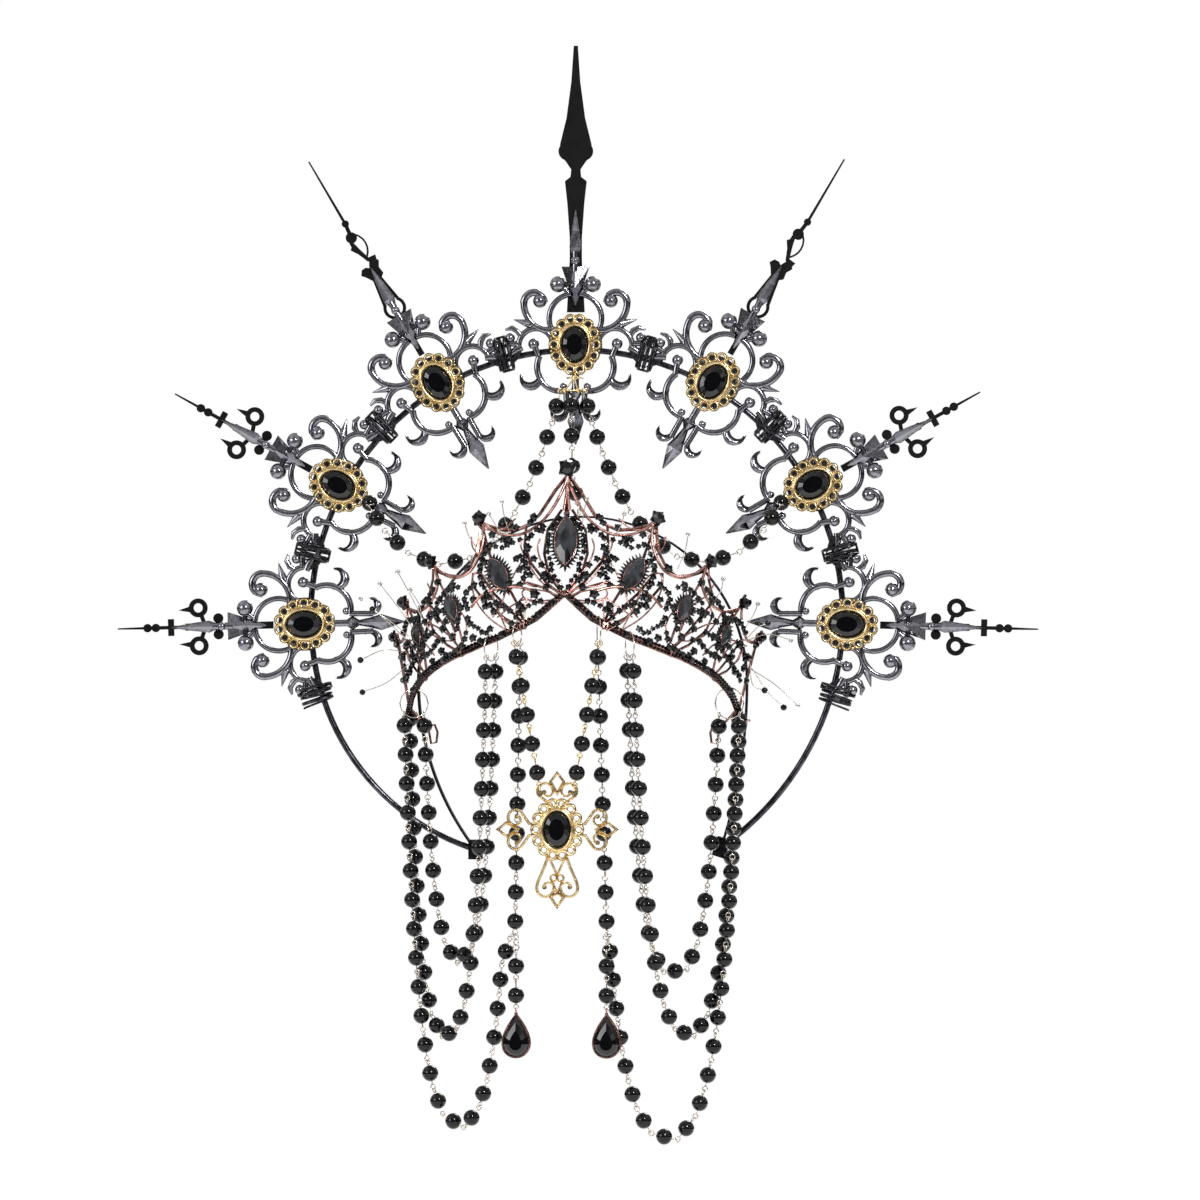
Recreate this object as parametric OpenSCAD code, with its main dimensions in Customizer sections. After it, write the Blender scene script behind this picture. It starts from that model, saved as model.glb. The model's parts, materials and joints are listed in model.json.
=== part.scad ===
// Gothic halo crown: a wire halo of seven cast fleur medallions on a thin
// headband, with a wire tiara in front and swags of linked beads below it.
// Origin: middle of the halo and tiara, at the height of the headband's
// underside at its top. +Z up, the wearer faces -Y.

/* [Halo] */
// Radius of the halo wire, to the middle of the wire
halo_r = 132; // [128:1:136]
// Diameter of the halo wire
halo_wire_d = 3; // [2.5:0.1:3.2]
// Height of the headband's top above the middle of the halo
halo_drop = 49; // [47:1:51]
// Radius of the circle that the medallions' middles lie on
medallion_r = 134.5; // [134:0.5:136]
// Angle from one medallion to the next
medallion_step = 30.5; // [30.5:0.1:31]
// Thickness of the cast scrollwork
cast_t = 2.6; // [2.2:0.1:2.8]

/* [Headband] */
// Radius of the headband over the head, to the middle of the strip
headband_r = 81.5; // [80:0.5:83]
// Width of the strip, from front to back
headband_w = 6; // [5:0.5:6]
// Thickness of the strip
headband_t = 1; // [0.8:0.1:1.2]
// The strip's middle lies this far to one side of the halo's
headband_x = 3.2; // [2.6:0.2:3.6]

/* [Tiara] */
// Radius of the tiara at its foot
tiara_r = 82; // [81:0.5:83]
// Angle that the tiara leans back when worn
tiara_tilt = 30; // [28:1:32]
// Angle that its wall flares outward
tiara_flare = 12; // [10:1:14]
// Height of the foot's middle, from the origin
tiara_z = -106; // [-108:1:-104]
// Thickness of the main wires
tiara_wire = 1.6; // [1.4:0.1:1.8]

/* [Beads] */
// Diameter of a round bead
bead_d = 8; // [7.6:0.1:8]
// From one bead's middle to the next on the tiara's strings
bead_pitch = 14.3; // [14.2:0.1:14.5]
// From one bead's middle to the next on the halo's strings
halo_pitch = 16; // [15.8:0.1:16.2]
// Diameter of the eye pins' wire
pin_d = 0.6; // [0.5:0.05:0.6]
// Radius of an eye, to the middle of its wire
eye_r = 1.2; // [1.2:0.05:1.3]

/* [Hidden] */
$fn = 48;
eps = 0.01;
// Running gap between pieces that lie on each other
gap = 0.3;
// Gap between two linked eyes
link_gap = 0.15;

MEDALLIONS = 7;
SIDES = ["left", "right"];

// Vector and frame helpers

function unit(v) = v / norm(v);

// Moves children so that their z axis runs along dir and their y axis near side
module align(at, dir, side) {
    z = unit(dir);
    x = unit(cross(side, z));
    y = cross(z, x);
    multmatrix([[x[0], y[0], z[0], at[0]],
                [x[1], y[1], z[1], at[1]],
                [x[2], y[2], z[2], at[2]],
                [0, 0, 0, 1]]) children();
}

// Stands a front view, drawn in x and y, upright: its z points to the front
module upright() rotate([90, 0, 0]) children();

module mirrored() {
    children();
    mirror([1, 0, 0]) children();
}

// A flat band along an arc, drawn in the plane
module arc_band(centre, r, from, to, w) {
    reach = (r + w) * 1.5;
    steps = 6;
    translate(centre) intersection() {
        difference() {
            circle(r + w / 2);
            circle(r - w / 2);
        }
        polygon(concat([[0, 0]], [for (i = [0:steps])
            let (a = from + (to - from) * i / steps) reach * [cos(a), sin(a)]]));
    }
}

// A flat band along a straight line, drawn in the plane
module bar(a, b, w) {
    along = unit(b - a);
    across = [-along[1], along[0]] * w / 2;
    polygon([a - across, b - across, b + across, a + across]);
}

// A ring of round wire about the y axis
module wire_ring(r, d) rotate([90, 0, 0]) rotate_extrude() translate([r, 0]) circle(d = d, $fn = 24);

// A solid with a flat back, bevelled sides and a ridge along its middle.
// Each row of the profile is: distance along y, half width, edge height, ridge height
module ridged(profile) {
    n = len(profile);
    points = [for (row = profile) each [
        [-row[1], row[0], 0], [row[1], row[0], 0], [row[1], row[0], row[2]],
        [0, row[0], row[3]], [-row[1], row[0], row[2]]]];
    sides = [for (i = [0:n - 2], k = [0:4]) let (a = 5 * i + k, b = 5 * i + (k + 1) % 5)
        each [[a, b, a + 5], [b, b + 5, a + 5]]];
    ends = [[2, 1, 0], [3, 2, 0], [4, 3, 0],
        [5 * n - 5, 5 * n - 4, 5 * n - 3], [5 * n - 5, 5 * n - 3, 5 * n - 2],
        [5 * n - 5, 5 * n - 2, 5 * n - 1]];
    polyhedron(points, concat(sides, ends));
}

// A cut stone: rings of an outline, one above the other, closed with a flat
// back and a table. Each level is: outline scale, height
module cut_stone(outline, levels) {
    n = len(outline);
    m = len(levels);
    points = [for (level = levels, p = outline) [p[0] * level[0], p[1] * level[0], level[1]]];
    sides = [for (j = [0:m - 2], i = [0:n - 1])
        let (a = j * n + i, b = j * n + (i + 1) % n)
        each [[a, a + n, b], [b, a + n, b + n]]];
    back = [for (i = [1:n - 2]) [0, i, i + 1]];
    table = [for (i = [1:n - 2]) [(m - 1) * n, (m - 1) * n + i + 1, (m - 1) * n + i]];
    polyhedron(points, concat(sides, back, table));
}

function oval(a, b, n) = [for (i = [0:n - 1]) [a * cos(360 * i / n), b * sin(360 * i / n)]];

// Pointed oval: two arcs meeting above and below
function marquise_outline(a, b, n) = let (half = n / 2, r = (a * a + b * b) / (2 * a), reach = asin(b / r))
    [for (i = [0:n - 1]) let (side = i < half ? 1 : -1, t = (i % half) / half * 2 - 1, angle = side * t * reach)
        [side * (r * cos(angle) - r + a), r * sin(angle)]];

// Pear outline, point up at the tip's height, r wide and r deep below the origin
function pear_outline(r, tip, n) = [for (i = [0:n - 1]) let (t = 360 * i / n)
    [-r / 0.77 * sin(t) * sin(t / 2), (tip - r) / 2 + (tip + r) / 2 * cos(t)]];

// Halo: places and sizes

halo_middle = [0, 0, -halo_drop];
cast_back = halo_wire_d / 2 + gap;
cast_front = cast_back + cast_t;

function medallion_angle(i) = (i - (MEDALLIONS + 1) / 2) * medallion_step;

// Puts a medallion's own front view, y outward, at its place on the halo
module on_halo(angle, r = medallion_r)
    translate(halo_middle) rotate([0, angle, 0]) translate([0, 0, r]) upright() children();

// Headband and halo wire

// The headband's ends, where the blocks hold it, as x and z from its own middle
LEFT_END = [-53.1, -164];
RIGHT_END = [68.8, -162.6];
headband_top = headband_t / 2 - headband_r;
end_block = [6.4, 9, 9.6];
// Angle on the halo, from its top, where its wire leaves the true circle
tail_start = 105;

// Radius of a leg that leaves the headband's arc downward and reaches p
function leg_r(p) = let (in = headband_r - abs(p[0]), down = headband_top - p[1])
    (in * in + down * down) / (2 * in);
function leg_angle(p) = asin((headband_top - p[1]) / leg_r(p));

// Flat strip swept about the y axis, to the right and downward
module strip_arc(r, from, to, clear = 0)
    rotate([90, 0, 0]) rotate([0, 0, from]) rotate_extrude(angle = to - from)
        translate([r - headband_t / 2 - clear, -headband_w / 2 - clear])
            square([headband_t + 2 * clear, headband_w + 2 * clear]);

module headband_leg(p, clear = 0)
    translate([headband_r - leg_r(p), 0, headband_top]) strip_arc(leg_r(p), -leg_angle(p), 0, clear);

// Points of the strip's right half, from its end up to the top, off its middle
leg_steps = 24;
top_steps = 48;
function leg_points(p, off) = [for (k = [0:leg_steps - 1]) let (a = -leg_angle(p) * (1 - k / leg_steps))
    [headband_r - leg_r(p), headband_top] + (leg_r(p) + off) * [cos(a), sin(a)]];
function top_points(off) = [for (k = [0:top_steps]) let (a = 180 * k / top_steps)
    [0, headband_top] + (headband_r + off) * [cos(a), sin(a)]];
function reversed(list) = [for (i = [len(list) - 1:-1:0]) list[i]];
function flipped(list) = [for (p = reversed(list)) [-p[0], p[1]]];
function strip_points(off) = concat(leg_points(RIGHT_END, off), top_points(off), flipped(leg_points(LEFT_END, off)));

// Bent from one flat strip, so it is drawn as one outline from end to end
module headband() color("#1a1a1c") translate([headband_x, headband_w / 2, 0]) rotate([90, 0, 0])
    linear_extrude(headband_w) polygon(concat(strip_points(headband_t / 2), reversed(strip_points(-headband_t / 2))));

// The halo wire's last stretch, from tail_start to the block, as one arc
module halo_tail(end) {
    start = [sin(tail_start), cos(tail_start)];
    inward = (halo_r * halo_r - end * end) / (2 * (halo_r - end * start));
    to_end = end - inward * start;
    sweep = acos(unit(to_end) * start);
    translate([inward * start[0], 0, inward * start[1]]) halo_wire(halo_r - inward, tail_start, tail_start + sweep);
}

// Round wire from one angle to another, clockwise from the top
module halo_wire(r, from, to)
    rotate([90, 0, 0]) rotate([0, 0, 90 - to]) rotate_extrude(angle = to - from)
        translate([r, 0]) circle(d = halo_wire_d);

module end_block_at(p, lean) translate([p[0], 0, p[1]]) rotate([0, lean, 0]) cube(end_block, center = true);

module halo_frame() color("#2b2b2f") {
    slot = 0.15;
    // The ends as the halo's own mirrored right-hand tails reach them
    right = [RIGHT_END[0] + headband_x, RIGHT_END[1] + halo_drop];
    left = [-LEFT_END[0] - headband_x, LEFT_END[1] + halo_drop];
    difference() {
        union() {
            translate(halo_middle) {
                halo_wire(halo_r, -tail_start, tail_start);
                // Soldered joints where the tails start
                mirrored() translate(halo_r * [sin(tail_start), 0, cos(tail_start)]) sphere(d = halo_wire_d + 0.7);
                halo_tail(right);
                mirror([1, 0, 0]) halo_tail(left);
            }
            translate([headband_x, 0, 0]) {
                end_block_at(RIGHT_END, leg_angle(RIGHT_END));
                end_block_at(LEFT_END, 0);
            }
        }
        translate([headband_x, 0, 0]) {
            headband_leg(RIGHT_END, slot);
            mirror([1, 0, 0]) headband_leg(LEFT_END, slot);
        }
    }
}

// Medallions: cast fleur crosses

// Arcs of the scrollwork's right half: middle, radius, start, end, width
SCROLLS = [
    [[1, 13], 12, -42, 84, 2.3],
    [[12, 20.6], 13.6, -102, 0, 2.9],
    [[20.4, 20.6], 5.2, 0, 140, 3.2],
    [[19.6, -0.6], 8.6, -15, 160, 2.4],
    [[7, -11], 12, -100, 27, 2.6]];
// Crescents: place, outer radius, inner radius, how far the inner circle sits above
CRESCENTS = [[[22.2, -16.2], 5.4, 4.5, 2.2], [[8.2, -33.2], 4.1, 3.3, 1.7]];
// Balls that end the scrolls: place, radius
BALLS = [[[8.6, 29.8], 4], [[17.6, 21.6], 3.4], [[20.7, 0.4], 2.7], [[34.3, 0.5], 1.9], [[5.9, -20.7], 1.8]];

module medallion_flat() {
    difference() {
        circle(13.2);
        circle(9.4);
    }
    mirrored() {
        for (s = SCROLLS) arc_band(s[0], s[1], s[2], s[3], s[4]);
        for (c = CRESCENTS) difference() {
            translate(c[0]) circle(c[1]);
            translate(c[0] + [0.6, c[3]]) circle(c[2]);
        }
        bar([18.2, -6], [20.6, 0.2], 2.6);
        bar([27.6, 0.5], [34.3, 0.5], 2.4);
        bar([4.3, -34], [4.6, -22.4], 2.4);
        polygon([[27, -1.5], [29.4, -1.5], [30.4, -5.5], [33, -11.3], [29, -7.6], [26.8, -4]]);
    }
    bar([0, -12], [0, -22], 3);
    bar([0, 36], [0, 46], 3);
    bar([-8.6, 29.8], [8.6, 29.8], 2);
}

module medallion(i) color("#4a4a52") on_halo(medallion_angle(i)) translate([0, 0, cast_back]) {
    linear_extrude(cast_t) medallion_flat();
    mirrored() {
        for (b = BALLS) translate([b[0][0], b[0][1], cast_t * 0.55]) sphere(b[1]);
        translate([22.7, 10.3, cast_t / 2]) rotate([0, 0, 15]) rotate([0, 90, 0])
            cylinder(h = 8.2, r1 = 2.3, r2 = 0.2);
    }
    translate([0, 41.5, 2.1]) sphere(2.1);
    // Shield, spear, bottom leaf and dagger: y, half width, edge, ridge
    ridged([[19.3, 0.3, 1.2, 1.6], [28, 3.4, 1.6, 4.2], [38.5, 6.9, 1.6, 2.8]]);
    ridged([[43.3, 1.2, 1.2, 2.4], [47.9, 3, 1.2, 3.4], [56, 2, 1.2, 3], [66.7, 0.3, 0.8, 1.2]]);
    ridged([[-28.7, 0.3, 1.2, 1.6], [-23.7, 3.5, 1.4, 4], [-18.8, 0.3, 1.2, 1.6]]);
    ridged([[-49.4, 0.3, 0.8, 1.2], [-43, 2.4, 1.2, 2.8], [-38, 4, 1.2, 3.4],
        [-33, 2.6, 1.2, 3], [-26, 1.2, 1.2, 2.4]]);
}

// Clock hands: flat black plates behind the medallions' spears

hand_t = 1;
hand_foot = 16;

// Tall spade hand of the top medallion; all sizes to its right
module spade_hand() {
    mirrored() polygon([[-0.5, 147.7], [1, 147.7], [2.2, 130], [4.6, 112], [7.8, 99], [7.4, 93], [5, 90.6],
        [2.3, 86.6], [2.6, 83], [5.4, 80.8], [4.2, 70], [3, 53], [3, 42], [4.4, hand_foot], [-0.5, hand_foot]]);
    mirrored() translate([4, 95.6]) circle(4.6);
}

// Openwork hand with a looped neck, for the second and third medallions
module loop_hand() {
    // Pear-shaped loop about the spear
    arc_band([0.1, 43], 4.9, 132, 408, 1.6);
    bar([-3.7, 46.1], [-1.6, 60], 1.6);
    bar([3.9, 46.1], [1.5, 60], 1.6);
    bar([0, hand_foot], [0, 39], 3);
    // Leaves on both sides of the waist
    polygon([[-1.9, 59], [-4.6, 63.2], [-6.2, 65], [-4.6, 67.4], [-2.2, 67.5], [-0.8, 66.4], [1.8, 71.2],
        [5.2, 70.8], [4.6, 68.6], [5.3, 67.5], [3.6, 64.6], [4.1, 61], [1.7, 59]]);
    // Open eye of the neck: thin rim on one side, thorned leaf on the other
    arc_band([-4.6, 78.4], 8.6, -50, 45, 0.9);
    polygon([[0.2, 69.6], [-2, 75], [-4.4, 78.6], [-3.2, 79.8], [-3.2, 82], [-1.4, 82], [-0.2, 77],
        [1.4, 71.6], [1.9, 70.4], [1.2, 69]]);
    translate([-0.9, 83.9]) circle(2.8);
    bar([-0.9, 84], [0, 91.4], 1.9);
    translate([0, 91.4]) circle(1.8);
    polygon([[-0.7, 91], [0.7, 91], [0.35, 127.2], [-0.35, 127.2]]);
}

// Scrolled hand of the side medallions
module scroll_hand() {
    mirrored() {
        difference() {
            translate([9.4, 53.4]) circle(4.7);
            translate([9.4, 53.4]) circle(2.3);
        }
        polygon([[7.2, 57], [10.4, 57], [8.4, 63.4]]);
        translate([4, 43.5]) circle(2.5);
        bar([0, 50], [6, 52], 2);
    }
    bar([-4.2, 67.2], [4.2, 67.2], 3);
    bar([0, hand_foot], [0, 60], 3.6);
    bar([0, 60], [0, 80], 1.8);
    translate([0, 74.8]) circle(2.1);
    translate([0, 79]) circle(2.1);
    polygon([[-0.7, 78], [0.7, 78], [0.35, 93.8], [-0.35, 93.8]]);
}

// Stamped from sheet: creases finer than the die are closed
module stamped() offset(delta = -0.1) offset(delta = 0.1) children();

module clock_hand(i) color("#101012")
    on_halo(medallion_angle(i)) translate([0, 0, cast_back - gap - hand_t]) linear_extrude(hand_t)
        if (i == 4) stamped($fn = 24) spade_hand();
        else if (i == 3 || i == 5) stamped($fn = 24) loop_hand();
        else scroll_hand();

// Bezels and oval stones

stone_a = 6.65;
stone_b = 9;
bezel_plate_t = 1.2;
bezel_back = cast_front + gap;
collar_t = 1.1;
collar_h = 3;
SCALLOPS = 14;

// Gold filigree bezel on the plane z = 0; scallops are pierced
module filigree_bezel(a, b) {
    seat = 0.25;
    inner = [a + seat, b + seat];
    outer = inner + collar_t * [1, 1];
    ring = outer + [2.4, 2.4];
    linear_extrude(bezel_plate_t) {
        polygon(oval(outer[0] + 0.6, outer[1] + 0.6, 32));
        difference() {
            for (k = [0:SCALLOPS - 1]) let (angle = 360 * k / SCALLOPS)
                translate([ring[0] * cos(angle), ring[1] * sin(angle)]) circle(2.75);
            for (k = [0:SCALLOPS - 1]) let (angle = 360 * k / SCALLOPS)
                translate([ring[0] * cos(angle), ring[1] * sin(angle)]) circle(1.3);
        }
    }
    linear_extrude(collar_h) difference() {
        polygon(oval(outer[0], outer[1], 32));
        polygon(oval(inner[0], inner[1], 32));
    }
}

// Black oval stone above its bezel's plate
module oval_stone(a, b) translate([0, 0, bezel_plate_t + 0.15])
    cut_stone(oval(a, b, 16), [[0.92, 0], [1, 0.6], [1, 1.3], [0.86, 2.6], [0.58, 3.6]]);

module bezel(i) color("#d9b25a") on_halo(medallion_angle(i)) translate([0, 0, bezel_back])
    filigree_bezel(stone_a, stone_b);

module stone(i) color("#0c0c0e") on_halo(medallion_angle(i)) translate([0, 0, bezel_back])
    oval_stone(stone_a, stone_b);

// Wire bindings that tie the medallions' outer balls to the halo wire

binding_d = 1.1;
// Half the height of a binding's long hoop, wide enough to clear the leaf beside the halo
binding_r = 4.15;
// Middles of the hoop's two ends, out from the halo's middle, and its height above the halo's plane
binding_ends = [halo_r - 1.6, 139];
binding_z = 1.65;

// One long hoop about the halo wire and the outer ball, at a distance along the halo
module hoop(along) {
    reach = binding_ends[1] - binding_ends[0];
    translate([along, 0, 0]) rotate([0, 0, 90]) rotate([90, 0, 0]) {
        rotate([0, 0, 90]) rotate_extrude(angle = 180) translate([binding_r, 0]) circle(d = binding_d);
        translate([reach, 0, 0]) rotate([0, 0, -90]) rotate_extrude(angle = 180)
            translate([binding_r, 0]) circle(d = binding_d);
        for (side = [-1, 1]) translate([0, side * binding_r, 0]) rotate([0, 90, 0])
            cylinder(h = reach, d = binding_d);
    }
}

// Two hoops, and the wire that crosses from one to the other at each end
module binding(angle, from, to) on_halo(angle, binding_ends[0]) translate([0, 0, binding_z]) {
    hoop(from);
    hoop(to);
    for (y = [-binding_r, binding_ends[1] - binding_ends[0] + binding_r])
        translate([from, y, 0]) rotate([0, 90, 0]) cylinder(h = to - from, d = binding_d + 0.1);
}

module wire_bindings() color("#26262a") {
    neck = 2.6;
    for (i = [1:MEDALLIONS - 1])
        binding((medallion_angle(i) + medallion_angle(i + 1)) / 2, -neck, neck);
    last = medallion_angle(MEDALLIONS) + medallion_step / 2;
    binding(last, -neck - 1.6, -neck + 0.6);
    binding(-last, neck - 0.6, neck + 1.6);
}

// Tiara

// A point on the tiara's wall: angle from the front, height up the wall, distance out
function on_tiara(angle, up, out = 0) = let (
    r = tiara_r + up * sin(tiara_flare) + out * cos(tiara_flare),
    h = up * cos(tiara_flare) - out * sin(tiara_flare))
    [r * sin(angle), -r * cos(angle) * cos(tiara_tilt) + h * sin(tiara_tilt),
        tiara_z + r * cos(angle) * sin(tiara_tilt) + h * cos(tiara_tilt)];

function tiara_out(angle) = unit(on_tiara(angle, 0, 1) - on_tiara(angle, 0, 0));
function tiara_up(angle) = unit(on_tiara(angle, 1, 0) - on_tiara(angle, 0, 0));
function tiara_along(angle) = cross(tiara_up(angle), tiara_out(angle));

// Foot of the tiara's wall: angle from the front, height up the wall
FOOT = [[0, 27], [10, 14.3], [22, 8], [34, 6], [46, 5.8], [59, 5.3], [70, 3.4], [76, 0.8], [90, 0]];
// Peaks of the upper edge: angle, height, radius of the stone on top
PEAKS = [[0, 93, 3.9], [26.4, 72.6, 3.1], [45.9, 60.3, 2.9], [63.6, 51.4, 2.9], [78.6, 45, 2.6]];
// Upper edge from its middle peak to one end: angle, height
EDGE = [[-0.8, 92], [3.5, 82], [8, 70], [11.5, 65.3], [15.2, 63.2], [20, 65], [24, 68],
    [26.4, 72.6], [27, 65], [28.5, 56], [31.5, 49.5], [35.5, 46.6], [40, 49.5], [44, 54],
    [45.9, 60.3], [47, 52], [50, 44.5], [55, 41], [59, 42.5], [62, 46],
    [63.6, 51.4], [65, 44.5], [68, 39.2], [72, 37], [76, 39.5],
    [78.6, 45], [78.8, 30], [79, 2]];
// Wires inside the wall, as rows of angle and height: arches and leaves that
// grow from four knots on the foot, and posts from the marquises to the peaks
KNOTS = [[0, 29], [13.6, 14], [38, 8], [59, 7.3]];
INNER = [
    [[0.8, 28], [6, 35], [11, 46], [12.6, 56], [12, 65]],
    [[0.6, 29], [5, 38], [6.6, 50], [5.6, 62], [1.5, 72]],
    [[2.5, 27.5], [7, 32.5], [12, 35.5], [17, 35]],
    [[13.8, 12.6], [20, 19], [27, 30], [31, 40], [30.6, 46], [28, 45], [24, 34], [17.6, 22], [13.2, 14.4]],
    [[13, 13.6], [15, 24], [17.8, 33]],
    [[37.5, 7], [44, 15], [50, 26], [51.6, 36], [49.4, 39], [45.4, 28], [40.5, 15], [37, 8]],
    [[36.5, 8], [37.3, 16], [38.4, 25.5]],
    [[58.5, 7], [64, 14], [69, 24], [70.2, 32], [67.8, 34], [64.4, 23], [60, 12], [58, 8]],
    [[57, 7], [57, 14], [56.9, 23.5]],
    [[23.6, 50.5], [25, 60], [26.4, 72]],
    [[41.6, 37.8], [44, 48], [45.9, 59.5]],
    [[59, 34.3], [61.6, 43], [63.6, 50.5]]];
// Marquise stones from the middle out: angle, height, half width, half length, outward lean
MARQUISES = [[0, 55.3, 5.4, 12.4, 0], [21, 41.5, 4.3, 9.6, 24], [39.4, 31.6, 3.7, 7, 20], [57.7, 29, 3.2, 6, 14]];
tiara_end = 85;
foot_h = 4;

function foot(angle) = lookup(abs(angle), FOOT);

// Four-sided wire through points; one of its corners faces outward
module wire(path, faces, w, t) {
    n = len(path);
    function dir(i) = unit(path[min(i + 1, n - 1)] - path[max(i - 1, 0)]);
    points = [for (i = [0:n - 1]) let (side = unit(cross(dir(i), faces[i])) * w / 2, out = faces[i] * t / 2)
        each [path[i] - side, path[i] - out, path[i] + side, path[i] + out]];
    sides = [for (i = [0:n - 2], k = [0:3]) let (a = 4 * i + k, b = 4 * i + (k + 1) % 4)
        each [[a, b, a + 4], [b, b + 4, a + 4]]];
    e = 4 * (n - 1);
    polyhedron(points, concat(sides, [[0, 2, 1], [0, 3, 2], [e, e + 1, e + 2], [e, e + 2, e + 3]]));
}

// A wire on the tiara's wall through rows of angle and height
module wall_wire(rows, w = tiara_wire, out = 0)
    wire([for (r = rows) on_tiara(r[0], r[1], out)], [for (r = rows) tiara_out(r[0])], w, tiara_wire);

module tiara_band() {
    turns = [for (k = [-18:18]) k / 18 * tiara_end];
    wire([for (a = turns) on_tiara(a, foot(a) + foot_h / 2)], [for (a = turns) tiara_out(a)], foot_h, tiara_wire);
}

// Twist of wire on the foot where the inner wires start
module knot(angle, up) align(on_tiara(angle, up, -1), tiara_out(angle), tiara_up(angle))
    cylinder(h = 2.4, r1 = 2.2, r2 = 1.6, $fn = 6);

// Collet that holds a stone on the wall: a short post behind it
module collet(angle, up, r) {
    hull() {
        align(on_tiara(angle, up, -0.6), tiara_out(angle), tiara_up(angle)) cylinder(h = 0.4, r = r * 0.7, $fn = 8);
        align(on_tiara(angle, up, 1), tiara_out(angle), tiara_up(angle)) cylinder(h = 0.4, r = r * 0.8, $fn = 8);
    }
}

// Frame behind a marquise stone: an open pointed oval
module marquise_frame(m) {
    outline = marquise_outline(m[2] + 0.7, m[3] + 1, 10);
    align(on_tiara(m[0], m[1], -0.5), tiara_out(m[0]), tiara_up(m[0])) rotate([0, 0, -m[4]])
        linear_extrude(1.8) difference() {
            polygon(outline);
            polygon(outline * 0.66);
        }
}

// Loop for a hairpin, behind the tiara's end
module pin_loop() {
    at = on_tiara(78, 3, -0.6);
    steps = [[0, 0, 0], [-4.6, 0.6, -5], [-8.4, 0.8, -8], [-11.4, 1, -7.4], [-12.8, 1, -11], [-12.2, 1, -16],
        [-9.6, 1, -16.6], [-8.6, 0.8, -11], [-8, 0.6, -7]];
    wire([for (p = steps) at + p], [for (p = steps) [0, -1, 0]], 1.2, 1.2);
}

// Tie of wire from the tiara's end to a loose turn about the headband's strip
module band_tie(side) {
    z = -100;
    strip_x = headband_x + side * (headband_r - leg_in(side, z));
    at = on_tiara(side * (tiara_end - 1), 2, 0);
    turn = [for (k = [0:8]) [strip_x + 2 * sin(45 * k) * side, -4.4 * cos(45 * k), z]];
    wire(concat([at], turn, [turn[0] + [0, -0.9, 0.4]]), [for (k = [0:10]) [0, 0, 1]], 1.2, 1.2);
}

// How far the headband's leg has come inward at a height below its arc
function leg_in(side, z) = let (r = leg_r(side > 0 ? RIGHT_END : LEFT_END), down = headband_top - z)
    r - sqrt(r * r - down * down);

module tiara_frame() color("#b98a72") {
    tiara_band();
    mirrored() wall_wire(EDGE, 1.8);
    mirrored() for (rows = INNER) wall_wire(rows, 1.4);
    mirrored() for (k = KNOTS) knot(k[0], k[1]);
    mirrored() pin_loop();
    mirrored() for (k = [1:3]) marquise_frame(MARQUISES[k]);
    mirrored() for (k = [1:4]) collet(PEAKS[k][0], PEAKS[k][1], PEAKS[k][2]);
    wall_wire([[0, 68], [0, 92]], 2.4);
    marquise_frame(MARQUISES[0]);
    collet(0, PEAKS[0][1] - 0.4, PEAKS[0][2] - 0.4);
    for (side = [-1, 1]) band_tie(side);
}

// Larger round stones on the foot's band: angle, radius
FOOT_STONES = [[4, 1.7], [8.4, 1.7], [21, 1.8], [28, 1.8], [45.5, 1.8], [52.5, 1.8], [67, 1.7]];

// A round stone on the wall, clear of what it is set on
module wall_stone(angle, up, r, out, levels)
    align(on_tiara(angle, up, out + link_gap), tiara_out(angle), tiara_up(angle))
        cut_stone(oval(r, r, 8), levels);
PEAK_CUT = [[0.5, 0], [1, 1], [1, 1.4], [0.62, 2.4]];
FOOT_CUT = [[0.8, 0], [1, 0.9], [0.6, 2]];

module tiara_stones() color("#121214") {
    wall_stone(0, PEAKS[0][1], PEAKS[0][2], 1.4, PEAK_CUT);
    for (side = [-1, 1]) {
        for (k = [1:4]) wall_stone(side * PEAKS[k][0], PEAKS[k][1], PEAKS[k][2], 1.4, PEAK_CUT);
        for (s = FOOT_STONES) wall_stone(side * s[0], foot(s[0]) + foot_h / 2, s[1], tiara_wire / 2, FOOT_CUT);
    }
}

// Marquise stones are numbered from the wearer's right
module marquise(i) {
    k = i - 4;
    m = MARQUISES[abs(k)];
    side = sign(k);
    angle = side * m[0];
    color("#3a3f44") align(on_tiara(angle, m[1], 1.3 + link_gap), tiara_out(angle), tiara_up(angle))
        rotate([0, 0, -side * m[4]])
            cut_stone(marquise_outline(m[2], m[3], 12), [[0.9, 0], [1, 0.7], [1, 1.2], [0.5, 3]]);
}

// Bead strings: each bead is one solid with its eye pin, linked to the next.
// A link runs from the wire that its first eye holds to its last eye's far wire

eye_seat = eye_r - pin_d - link_gap;
// An eye's far wire lies this far past the wire that it holds
grip = eye_r - eye_seat;

// One bead from a to b. The first eye turns about a level line at the yaw given
module link(a, b, yaw, last_r = eye_r) {
    last_eye = norm(b - a) - last_r;
    pin = [eye_seat + eye_r - 0.15, last_eye - last_r + 0.15];
    align(a, b - a, [cos(yaw), sin(yaw), 0]) {
        translate([0, 0, norm(b - a) / 2]) sphere(d = bead_d);
        translate([0, 0, pin[0]]) cylinder(h = pin[1] - pin[0], d = pin_d + 0.1);
        translate([0, 0, eye_seat]) wire_ring(eye_r, pin_d);
        translate([0, 0, last_eye]) rotate([0, 0, 90]) wire_ring(last_r, pin_d);
    }
}

// The links' yaws: a string turns a little in its first and last few beads
function near(turn) = (turn + 3690) % 180 - 90;
function yaws(n, first, along, last, few = 4) = [for (i = [0:n - 1])
    along + near(first - along) * max(0, 1 - i / few) + near(last - along) * max(0, 1 - (n - 1 - i) / few)];

module string_of(points, turns) {
    for (i = [0:len(points) - 2]) link(points[i], points[i + 1], turns[i]);
}

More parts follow.
